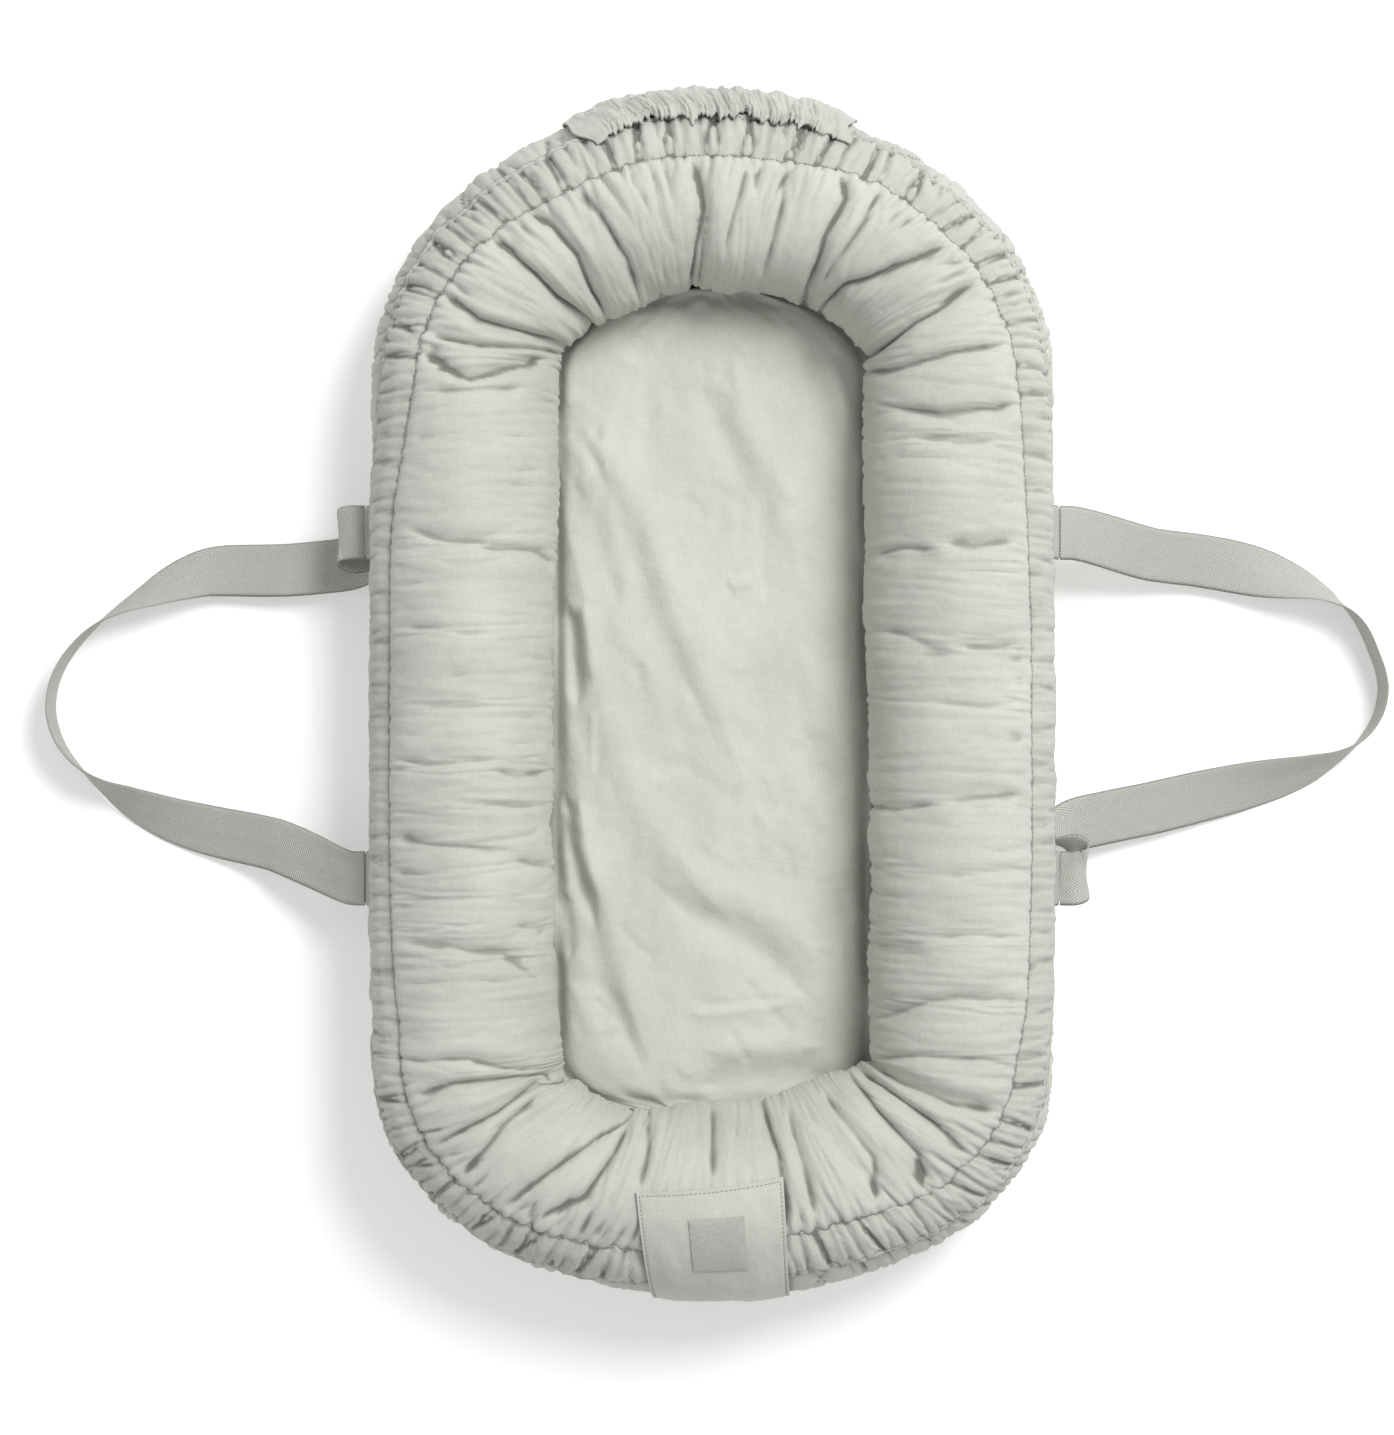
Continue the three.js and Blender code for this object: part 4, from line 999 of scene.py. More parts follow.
def band_surface():
    rng = np.random.default_rng(23)
    turns = ring_turns(BAND_STEP, BAND_SIDE_STEP)
    top = band_top_angle(turns)
    ends = top + SEAM_LAP, top - BAND_ANGLE
    base, across, stretch = base_grid(turns, *ends, BAND_ROWS, COVER_LIFT)
    outward = section_outward(turns, *ends, base)
    corner = corner_share(turns)[None, :]
    share = np.linspace(0, 1, BAND_ROWS)[:, None] * np.ones((1, len(turns)))
    lift = 0.0040 * smooth(share / 0.4) + 0.0009 * smooth(share / 0.03)
    lift -= 0.0012 * smooth((share - 0.6) / 0.4)
    lift -= 0.0012 * np.exp(-((share - LOWER_STITCH_SHARE) / 0.05) ** 2)
    low_pleats = random_tucks(
        rng, corner_gap=0.0090, side_gap=0.014,
        corner_size=(0.016, 0.050, 0.0014, 0.0036), side_size=(0.010, 0.030, 0.0005, 0.0016),
    )
    large = random_tucks(
        rng, corner_gap=0.021, side_gap=0.034,
        corner_size=(0.030, 0.062, 0.0036, 0.0062), side_size=(0.008, 0.026, 0.0008, 0.0024),
    )
    pleats = leaning(SEAM_GATHERS, 1.6, 1.05, -0.2) + leaning(SEAM_PUCKERS, 1, 1, -1)
    low_pleats, large = leaning(low_pleats, 1.2, 0.8, 0.35), leaning(large, 1.3, 1, 0.35)
    pleat = np.maximum(
        tuck_field(turns, across, stretch, pleats, PLEAT_WIDTH),
        tuck_field(turns, across[-1:] - across, stretch, low_pleats, PLEAT_WIDTH),
    )
    pleat = np.maximum(pleat, 1.1 * tuck_field(turns, across, stretch, large, LARGE_PLEAT_WIDTH))
    pleat += 0.3 * tuck_field(turns, across, stretch, large, SWELL_WIDTH)
    cells = 0.0017 / BAND_STEP

    def noise(kind, columns, rows):
        return ring_field(kind, rng, BAND_ROWS, turns, columns, rows * cells)

    fine = noise(wave_noise, 9, 5) * (0.0003 + 0.0002 * corner)
    fine += noise(crinkles, 4, 8) * (0.0005 + 0.0002 * corner)
    pleat = pleat * (1 - 0.75 * smooth((share - 0.9) / 0.1)) * calm_share(turns)
    hold = np.zeros(share.shape)
    hold[[0, -1]] = 1
    hold[LOWER_STITCH_ROW] = 0.7
    start = base + outward * (lift + 0.0008 + fine - pleat)[..., None]
    along = 0.03 + 0.06 * corner
    body = base + outward * lift[..., None]
    place = settle(start, body, along, SPARE_ACROSS, hold, BAND_SETTLING, 0.0, *BAND_BOUNDS)
    height = np.sum((place - body) * outward, -1)
    sharper = 0.6 * (height - blurred(height, 4 * cells, 4 * cells))
    over_cord = CORD_RISE * np.exp(-(((share - CORD_SHARE) / 0.12) ** 2))
    rise = np.maximum(height + sharper, over_cord - lift) - height
    place = place + outward * rise[..., None]
    # The last value is painted shade: in the casing's pleats and hollows, and a little more all
    # over it.
    return turns, ends, place, shade_depth(height, 4 * cells, 3.4) + 0.0006


def make_casing():
    turns, ends, front, depth = band_surface()
    obj = ring_shell("casing_cloth", front, plain_face(turns, *ends, CASING_BACK_LIFTS), depth)
    finish_piece(obj, shaded_band_cotton, "nest", "sage_cotton", "drawstring_casing")
    return front[LOWER_STITCH_ROW]


WALL_ROWS = 30
WALL_STEP, WALL_SIDE_STEP = 0.0015, 0.0024
WALL_SETTLING, WALL_BOUNDS = 10, (-0.005, 0.0035)
WALL_HEAD_SHARE = 0.90
WALL_BACK_LIFTS = [-0.006] * 5


def make_outer_band():
    rng = np.random.default_rng(31)
    turns = ring_turns(WALL_STEP, WALL_SIDE_STEP)
    ends = band_top_angle(turns) - WALL_HEAD_SHARE * BAND_ANGLE, -FLOOR_ANGLE
    base, across, stretch = base_grid(turns, *ends, WALL_ROWS, COVER_LIFT)
    outward = section_outward(turns, *ends, base)
    corner = corner_share(turns)[None, :]
    share = across / across[-1:]
    low_pleats = random_tucks(
        rng, corner_gap=0.012, side_gap=0.020,
        corner_size=(0.020, 0.050, 0.0012, 0.0034), side_size=(0.010, 0.035, 0.0006, 0.0018),
    )
    pleat = np.maximum(
        tuck_field(turns, across, stretch, leaning(SEAM_GATHERS, 1.6, 1.25, 0.5), 0.0018),
        tuck_field(turns, across[-1:] - across, stretch, low_pleats, 0.0022),
    )
    edge = smooth(share / 0.08) * smooth((1 - share) / 0.10)
    soft = ring_field(wave_noise, rng, WALL_ROWS, turns, 12, 6) * (0.0004 + 0.0005 * corner)
    fine = ring_field(crinkles, rng, WALL_ROWS, turns, 4, 7) * (0.0006 + 0.0006 * corner)
    height = edge * (0.0022 + soft + fine) - (0.25 + 0.75 * edge) * pleat
    start = base + outward * height[..., None]
    hold = np.zeros(height.shape)
    hold[[0, -1]] = 1
    along = 0.03 + 0.07 * corner
    place = settle(start, base, along, SPARE_ACROSS, hold, WALL_SETTLING, 0.0, *WALL_BOUNDS)
    place[..., 2] = np.maximum(place[..., 2], GAP)
    # Painted shade: darker in the band's hollows and deeper still along its pleats.
    depth = shade_depth(height, 3, 3) + 0.4 * pleat * edge
    obj = ring_shell("band_cloth", place, plain_face(turns, *ends, WALL_BACK_LIFTS), depth)
    finish_piece(obj, shaded_band_cotton, "nest", "sage_cotton", "outer_band")
    return obj


FILLING_LIFT, FILLING_LUMPS = -0.0125, 0.0006


def make_filling():
    turns = np.linspace(0, RING, 240, endpoint=False)
    angles = np.linspace(-FLOOR_ANGLE, math.pi + FLOOR_ANGLE, 36)[:, None]
    lumps = wave_noise(np.random.default_rng(5), (len(angles), len(turns)), 6, 3) * FILLING_LUMPS
    points = over(turns[None, :], angles, FILLING_LIFT + lumps)
    points[..., 2] = np.maximum(points[..., 2], FLOOR_LEVEL)
    obj = grid_mesh("filling_fibre", points, closed_across=True)
    finish_piece(obj, fill_fibre, "nest", "fibre_fill", "bumper_filling")
    return obj


# Base
SEAM_OUT = (FILL_HALF_WIDTH + GAP + CLOTH) * math.cos(INNER_SEAM_ANGLE) - 2 * GAP
PANEL_OUT = (FILL_HALF_WIDTH + GAP) * math.cos(FLOOR_ANGLE) - 2 * GAP
PAD_OUT = SEAM_OUT - 0.004
PAD_EDGE_HEIGHT, PAD_CROWN, PAD_SUNK = 0.024, 0.004, 0.012
SHEET_THICKNESS = 0.0012


def well_outline(out, columns):
    return ring_place(np.linspace(0, RING, columns, endpoint=False), np.full(columns, out))


def well_grid(columns, rows, out):
    """A grid over the well: each row crosses it from its left edge to its right edge."""
    x, y = well_outline(out, 4000)
    right = x > 0
    order = np.argsort(y[right])
    share = 0.5 - 0.5 * np.cos(math.pi * np.linspace(0.004, 0.996, rows))
    places = mix(y.min(), y.max(), share)
    half = np.interp(places, y[right][order], x[right][order])
    across = half[:, None] * np.linspace(-1, 1, columns)[None, :]
    return across, places[:, None] * np.ones((1, columns))


def flat_facts(x, y, out):
    """A sheet's flat size, and its area when it is cut to the outline that it fills."""
    a, b = well_outline(out, 2000)
    area = 0.5 * abs(float(np.sum(a * np.roll(b, -1) - b * np.roll(a, -1))))
    return (float(np.ptp(x)), float(np.ptp(y))), area


# Broad soft folds of the base sheet, in the photograph's pixels: height, half width, then places
SHEET_FOLDS_PIXELS = [
    (0.0050, 0.022, (548, 372), (600, 452), (640, 530), (676, 610), (716, 700), (744, 780)),
    (-0.0040, 0.012, (580, 430), (598, 470), (622, 520), (640, 575), (664, 640), (690, 690),
     (724, 756)),
    (-0.0030, 0.012, (700, 340), (706, 400), (730, 450), (758, 500), (762, 560)),
    (0.0034, 0.016, (732, 350), (744, 420), (786, 500), (800, 580)),
    (0.0024, 0.006, (722, 588), (742, 580), (762, 580)),
    (-0.0016, 0.0045, (722, 580), (742, 573), (762, 573)),
    (-0.0028, 0.010, (566, 470), (586, 510), (606, 560), (622, 620)),
    (0.0034, 0.014, (566, 520), (586, 600), (600, 700), (640, 800), (690, 880), (740, 930)),
    (-0.0036, 0.011, (640, 872), (692, 916), (748, 940), (790, 980), (820, 1010)),
    (0.0034, 0.014, (668, 850), (720, 890), (780, 920), (830, 970)),
    (0.0040, 0.015, (560, 800), (592, 880), (612, 960), (650, 1060)),
    (-0.0042, 0.011, (566, 850), (586, 914), (612, 1002), (650, 1084)),
    (-0.0030, 0.013, (800, 720), (820, 770), (846, 800)),
    (0.0020, 0.014, (790, 640), (826, 700), (856, 760)),
    (0.0016, 0.020, (640, 330), (740, 350), (820, 340)),
    (-0.0040, 0.013, (700, 1085), (760, 1080), (838, 1077)),
    (0.0030, 0.010, (690, 1052), (760, 1048), (840, 1046)),
    (0.0016, 0.0050, (660, 1018), (740, 1009), (816, 1002)),
    (-0.0014, 0.0032, (664, 1012), (740, 1003), (814, 996)),
    (-0.0058, 0.0055, (563, 590), (572, 625), (576, 680), (580, 730)),
    (0.0036, 0.0060, (580, 590), (590, 640), (594, 700)),
    (-0.0054, 0.0055, (560, 770), (568, 810), (572, 850), (590, 910), (606, 960)),
    (0.0036, 0.0070, (576, 780), (588, 850), (606, 920)),
    (-0.0030, 0.0050, (562, 880), (568, 920), (572, 980)),
    (-0.0026, 0.0080, (560, 396), (582, 424), (610, 446)),
    (-0.0018, 0.0060, (562, 420), (590, 452), (606, 480)),
    (-0.0022, 0.0090, (808, 330), (820, 370), (826, 420), (842, 460)),
    (0.0020, 0.0070, (826, 340), (838, 390), (850, 440)),
]


SMALL_FOLDS = 90
SMALL_FOLD_X, SMALL_FOLD_Y, SMALL_FOLD_REACH = (560, 865), (310, 1095), (14, 62)
SMALL_FOLD_SLANT, SMALL_FOLD_BEND = (1.08, 0.42), (0, 0.35)
SMALL_FOLD_HEIGHT, SMALL_FOLD_WIDTH = (0.0003, 0.0012), (0.0026, 0.0075)


def small_sheet_folds(rng):
    """Soft wrinkles scattered over the well, most of them along its slant, in the same form."""
    folds = []
    for _ in range(SMALL_FOLDS):
        x, y = rng.uniform(*SMALL_FOLD_X), rng.uniform(*SMALL_FOLD_Y)
        slant, bend = rng.normal(*SMALL_FOLD_SLANT), rng.normal(*SMALL_FOLD_BEND)
        reach = rng.uniform(*SMALL_FOLD_REACH)
        before = (x - reach * math.cos(slant - bend), y - reach * math.sin(slant - bend))
        after = (x + reach * math.cos(slant + bend), y + reach * math.sin(slant + bend))
        height = rng.choice([-1, 1]) * rng.uniform(*SMALL_FOLD_HEIGHT)
        folds.append((height, rng.uniform(*SMALL_FOLD_WIDTH), before, (x, y), after))
    return folds


def sheet_height(points):
    height = np.zeros(points.shape[:-1])
    for size, width, *places in SHEET_FOLDS_PIXELS + small_sheet_folds(np.random.default_rng(53)):
        away, _, full = to_fold(points, places)
        height += size * np.exp(-(((away + FOLD_END_AWAY * (1 - full)) / width) ** 2))
    return height


SHEET_GRID = (152, 322)
DIP, DIP_NOISE, DEEPEST_DIP = 0.0080, 0.0022, 0.0105
SHEET_FOLD_SHARE = 1.12
RIM_SHADE, RIM_SHADE_REACH = 0.0042, 0.0085


def make_base_sheet():
    rng = np.random.default_rng(47)
    columns, rows = SHEET_GRID
    x, y = well_grid(columns, rows, SEAM_OUT)
    edge = 1 - np.abs(np.linspace(-1, 1, columns)[None, :] * np.ones_like(x))
    ends = 1 - np.abs(np.linspace(-1, 1, rows))[:, None]
    inside = np.clip(np.minimum(edge * 0.11, ends * 0.28), 0, 1)
    rim = np.minimum(edge * np.abs(x[:, -1:]), np.minimum(y - y.min(), y.max() - y))
    at_end = smooth((np.abs(y - (y.max() + y.min()) / 2) / (np.ptp(y) / 2) - 0.86) / 0.08)

    def noise(cells, height):
        return wave_noise(rng, (rows, columns), cells, cells) * height

    dip = (DIP + noise(9, DIP_NOISE)) * (1 - 0.5 * at_end)
    dip *= smooth((rim - 0.001) / mix(0.0026, 0.006, at_end)) * np.exp(
        -((np.maximum(rim - 0.0080, 0) / 0.0062) ** 2)
    )
    level = PAD_EDGE_HEIGHT + GAP + SHEET_THICKNESS + PAD_CROWN * smooth(inside / 0.03)
    top = np.stack([x, y, level - np.clip(dip, 0, DEEPEST_DIP)], -1)
    folds = SHEET_FOLD_SHARE * sheet_height(top) * smooth(inside / 0.012)
    cell = columns / 150
    soft = noise(14 * cell, 0.0006) + noise(5 * cell, 0.00022)
    top[..., 2] += folds + soft * smooth(inside / 0.02)
    shade = RIM_SHADE * np.exp(-((rim / RIM_SHADE_REACH) ** 4)) * (1 - 0.8 * at_end)
    obj = sheet_mesh("well_cloth", top, top - np.array([0, 0, SHEET_THICKNESS]), shade)
    finish_piece(obj, lit_base_cotton, "nest", "sage_cotton", "base_sheet")
    flat, area = flat_facts(x, y, SEAM_OUT)
    return obj


def make_mattress_pad():
    columns, rows = 60, 140
    x, y = well_grid(columns, rows, PAD_OUT)
    inside = np.clip(1 - np.abs(np.linspace(-1, 1, columns)), 0, 1)[None, :] * np.ones_like(x)
    top = np.stack([x, y, PAD_EDGE_HEIGHT - PAD_SUNK + PAD_CROWN * smooth(inside / 0.3)], -1)
    obj = sheet_mesh("pad_fibre", top, np.stack([x, y, np.full_like(x, FLOOR_LEVEL)], -1))
    finish_piece(obj, fill_fibre, "nest", "fibre_fill", "mattress_pad")
    return obj


def make_base_panel():
    columns, rows = 80, 160
    x, y = well_grid(columns, rows, PANEL_OUT)
    wrinkle = np.abs(wave_noise(np.random.default_rng(3), (rows, columns), 9, 9)) * 0.00010
    top = np.stack([x, y, np.full_like(x, CLOTH)], -1)
    obj = sheet_mesh("panel_cloth", top, np.stack([x, y, wrinkle], -1))
    finish_piece(obj, under_cotton, "nest", "underside_cotton", "base_panel")
    flat, area = flat_facts(x, y, PANEL_OUT)
    return obj


# Section angles of the bumper's outer side: as shares of its wall from the floor, or of the casing
# from its top
FLAP_FOOT_SHARE, PATCH_FOOT_SHARE = 0.25, 0.5
LIP_SHARE, BACK_SHARE = 0.56, 0.44


def wall_angle(turn, share):
    return mix(-FLOOR_ANGLE, band_top_angle(turn) - BAND_ANGLE, share)


def casing_angle(turn, share):
    return band_top_angle(turn) - share * BAND_ANGLE


# Drawstring and its lock
CORD_RADIUS, CORD_SPACING, KNOT_RADIUS = 0.0015, 0.0036, 0.0028
CORD_LIFT, BORE_LIFT, TAIL_SPREAD = 0.0006, 0.0028, 2.6
CORD_GAP = 0.012
LOCK_RADIUS, LOCK_TRAVEL = 0.0062, 0.008
SPRING_TURNS, SPRING_WIRE_RADIUS, PRESS_TRAVEL = 3, 0.00025, 0.0025


def circle(centre, side, up, radius, count):
    """Places on a circle round a centre, from two unit directions across it."""
    angle = np.linspace(0, TAU, count, endpoint=False)[:, None]
    return centre + radius * (np.cos(angle) * side + np.sin(angle) * up)


def tube(name, path, radius, sides=10):
    """A round tube along a path of points; radius is one value or one for each point."""
    path = np.asarray(path, float)
    tangent = unit(np.gradient(path, axis=0))
    side = np.cross(tangent[0], (0.3, 0.5, 0.8))
    rings = []
    for centre, way, r in zip(path, tangent, np.broadcast_to(radius, len(path))):
        side = unit(side - way * (side @ way))
        rings.append(circle(centre, side, np.cross(way, side), r, sides))
    return fill_ends(grid_mesh(name, np.array(rings)), sides)


def make_drawstring():
    _, tail_y, lock_height = np.mean(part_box("cord_lock_barrel"), axis=0)
    knot_top = lock_height - LOCK_RADIUS - LOCK_TRAVEL - 2 * GAP
    clear = CLOTH + 2 * GAP + CORD_RADIUS

    def tail(sign):
        x = sign * CORD_SPACING / 2
        run = [(x * TAIL_SPREAD, casing_angle(0.0, BACK_SHARE), BORE_LIFT)]
        run += [(x, casing_angle(0.0, LIP_SHARE), clear)]
        run += [(x, wall_angle(0.0, share), clear) for share in (1, 0.75, 0.5)]
        places = [(px, *over(0.0, angle, lift)[1:]) for px, angle, lift in run]
        hang = [lock_height + LOCK_RADIUS, *(knot_top - n * KNOT_RADIUS for n in range(3))]
        return places + [(x, tail_y, z) for z in hang]

    turns = np.linspace(CORD_GAP, RING - CORD_GAP, 700)
    ring = over(turns, casing_angle(turns, CORD_SHARE), CORD_LIFT)
    path = np.concatenate([tail(1)[::-1], ring, tail(-1)])
    radius = np.full(len(path), CORD_RADIUS)
    radius[[1, -2]] = KNOT_RADIUS
    cord = tube("drawstring_cord", path, radius)
    return finish_piece(cord, cord_cotton, "nest", "cotton_cord", "drawstring")


def make_lock_spring():
    """The lock's coil: a rigid wire helix that fills the spring's box."""
    low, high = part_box("cord_lock_spring")
    angle = np.linspace(0, TAU * SPRING_TURNS, 120)
    coil = (high[2] - low[2]) / 2 - SPRING_WIRE_RADIUS
    path = np.stack([
        np.linspace(low[0] + SPRING_WIRE_RADIUS, high[0] - SPRING_WIRE_RADIUS, len(angle)),
        (low[1] + high[1]) / 2 + coil * np.cos(angle),
        (low[2] + high[2]) / 2 + coil * np.sin(angle),
    ], -1)
    obj = tube("lock_spring_wire", path, SPRING_WIRE_RADIUS, 8)
    finish_piece(obj, spring_steel, "cord_lock", "spring_steel", "cord_lock_spring")
    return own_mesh(obj)


def dress_lock():
    for node in ("cord_lock_barrel", "cord_lock_plunger"):
        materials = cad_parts[node].data.materials
        materials.clear()
        materials.append(lock_plastic)


# Foot patch and label. The patch's corners as they show in the photograph, in its pixels
PATCH_HEAD_PIXELS, PATCH_HEAD_HEIGHT = ((636, 1197), (783, 1181)), 0.132
PATCH_FOOT_PIXELS, PATCH_FOOT_HEIGHT = ((654, 1291), (790, 1285)), 0.085
PATCH_HEAD_ANGLE, PATCH_HEAD_TILT = math.radians(106), math.radians(9.4)
PATCH_FLAT, PATCH_WIDTH, PATCH_DROP = (0.105, 0.135), 0.103, 0.110
PATCH_THICKNESS, PATCH_BOW, PATCH_TAPER = 0.0012, 0.16, 1.25
PATCH_STITCH_IN, PATCH_STITCH_END = 0.0022, 0.94
PATCH_HEAD_LIFT, PATCH_CROWN_LIFT, PATCH_FOOT_LIFT = 0.0066, 0.0012, 0.0046
LABEL_ACROSS, LABEL_DOWN = (0.338, 0.719), (0.15, 0.43)
LABEL_LIFT, LABEL_THICKNESS = 0.0013, 0.0007


def plan_x(pixels, height):
    """How far across the plan pixels of the photograph lie, at a height."""
    scale = PIXELS_PER_SLOPE / (CAMERA_PLACE[2] - height)
    return [(x - PHOTO_WIDTH / 2) / scale + CAMERA_PLACE[0] for x, _ in pixels]


PATCH_HEAD_X = plan_x(PATCH_HEAD_PIXELS, PATCH_HEAD_HEIGHT)
PATCH_FOOT_X = plan_x(PATCH_FOOT_PIXELS, PATCH_FOOT_HEIGHT)


def patch_points(across, down, lift):
    """Places on the foot patch: across it from its left edge, and down it from its upper edge."""
    share = np.clip(down * PATCH_TAPER, 0, 1)
    left, right = (mix(head, foot, share) for head, foot in zip(PATCH_HEAD_X, PATCH_FOOT_X))
    x = mix(left, right, across)
    tilt = PATCH_HEAD_TILT * (across - 0.5) * np.clip(1 - down, 0, 1)
    bow = PATCH_BOW * (across - 0.5) ** 2 * down
    angle = mix(PATCH_HEAD_ANGLE + tilt, wall_angle(0.0, PATCH_FOOT_SHARE) + bow, down)
    out = (FILL_HALF_WIDTH + lift) * np.cos(angle)
    cosine = np.abs(x / (RING_HALF_WIDTH + out)) ** (FOOT_SQUARENESS / 2)
    turn = np.sign(x) * FOOT_QUARTER * (1 - np.arccos(cosine) / (math.pi / 2))
    return over(turn, angle, lift)


def patch_lift(down):
    """How high the patch stands over the filling: on the cover, over the casing and at its foot."""
    seam = PATCH_HEAD_ANGLE - casing_angle(0.0, 0)
    seam /= PATCH_HEAD_ANGLE - wall_angle(0.0, PATCH_FOOT_SHARE)
    lift = mix(PATCH_HEAD_LIFT, CASING_LIFT + PATCH_CROWN_LIFT, smooth((down - seam + 0.05) / 0.16))
    return mix(lift, PATCH_FOOT_LIFT, smooth((down - 0.72) / 0.28))


def edge_distance(across, down, width=1, drop=1):
    """How far places on a sheet are from its nearest edge."""
    return np.minimum(np.minimum(across, 1 - across) * width, np.minimum(down, 1 - down) * drop)


def patch_sheet(name, across, down, front_lift, back_lift):
    """A sheet on the foot patch, between two lifts."""
    front, back = (patch_points(across, down, lift)[:, ::-1] for lift in (front_lift, back_lift))
    return sheet_mesh(name, front, back)


def make_foot_patch():
    rng = np.random.default_rng(61)
    columns, rows = 110, 120
    across, down = unit_grid(columns, rows)
    lift = patch_lift(down) + PATCH_THICKNESS
    rim = edge_distance(across, down, PATCH_WIDTH, PATCH_DROP)
    seam = np.exp(-(((rim - PATCH_STITCH_IN) / 0.0009) ** 2)) * (down < 0.93)
    soft = wave_noise(rng, (rows, columns), 12, 12) * 0.0005
    fine = wave_noise(rng, (rows, columns), 4, 4) * 0.00012
    label_x, label_y = sum(LABEL_ACROSS) / 2, sum(LABEL_DOWN) / 2
    middle = np.maximum(np.abs(across - label_x) / 0.26, np.abs(down - label_y) / 0.20)
    inside = smooth((rim - 0.003) / 0.012) * (0.12 + 0.88 * smooth((middle - 0.8) / 0.4))
    pillow = 0.0012 * smooth((rim - 0.004) / 0.02)
    front_lift = lift - 0.0007 * seam + pillow + inside * (soft + fine)
    obj = patch_sheet("patch_cloth", across, down, front_lift, lift - PATCH_THICKNESS)
    finish_piece(obj, cover_cotton, "nest", "sage_cotton", "foot_patch")
    return obj


def make_label():
    columns, rows = 50, 50
    u, v = unit_grid(columns, rows)
    rim = edge_distance(u, v)
    soft = wave_noise(np.random.default_rng(67), (rows, columns), 8, 8) * 0.0001 * smooth(rim / 0.1)
    puff = 0.0004 * smooth(rim / 0.10) + soft
    across, down = mix(*LABEL_ACROSS, u), mix(*LABEL_DOWN, v)
    lift = patch_lift(down) + PATCH_THICKNESS + LABEL_LIFT
    obj = patch_sheet("label_tape", across, down, lift + LABEL_THICKNESS + puff, lift)
    finish_piece(obj, label_weave, "nest", "label_weave", "label")
    return obj


# Head flap. Its gathered hem as it runs in the photograph, in its pixels
HEM_PIXELS = [
    (850, 141), (815, 126), (785, 119), (754, 116), (709, 112), (672, 111), (638, 118), (617, 127),
    (597, 146),
]
HEM_LIFT = 0.0105
HEM_TURNS, HEM_ANGLES = nearest_places(
    HEM_PIXELS,
    np.arange(HEAD_TURN + 0.05, LEFT_TURN - 0.05, PLACE_STEP),
    np.radians(np.arange(-20, 80, ANGLE_STEP)),
    lambda turn, angle: over(turn, angle, HEM_LIFT),
)
HEM_AVERAGE = np.linspace(-0.012, 0.012, 5)
HEM_LENGTH = HEM_TURNS[-1] - HEM_TURNS[0]
FLAP_GRID = (476, 102)
FLAP_SIDE_FLARE, FLAP_SIDE_REACH = (0.003, 0.009), 0.014
HEM_ROLL, FLAP_FULLNESS, FLAP_LEAST = 0.0030, 0.0044, 0.0023
ELASTIC_RADIUS, ELASTIC_DOWN, ELASTIC_LIFT, ELASTIC_IN = 0.0008, 0.12, 0.0022, 0.006


def flap_turn(share, down):
    flare = smooth(down / 0.35)
    low = HEM_TURNS[0] + FLAP_SIDE_FLARE[0] * flare
    high = HEM_TURNS[-1] + FLAP_SIDE_FLARE[1] * flare
    return mix(low, high, share)


def flap_angle(turn, down):
    """From the flap's hem, 0, down its face to its sewn foot, 1."""
    hem = read_between(turn, HEM_TURNS, HEM_ANGLES, HEM_AVERAGE, None)
    return mix(hem, wall_angle(turn, FLAP_FOOT_SHARE), down)


def flap_pleats(rng, share, down):
    """Creases that run down from the flap's hem."""
    pleat = np.zeros_like(share)
    for place in np.cumsum(rng.uniform(0.016, 0.060, 60)):
        if place < 1:
            lean, reach = rng.normal(0, 0.07), rng.uniform(0.25, 0.85)
            depth = rng.uniform(0.0008, 0.0030)
            off = (share - place - lean * down) * HEM_LENGTH * rng.choice([-1, 1])
            crease = np.where(off > 0, np.exp(-off / 0.0035), np.exp(off / 0.0010))
            pleat = np.maximum(pleat, depth * crease * np.clip(1.1 - down / reach, 0, 1))
    return pleat


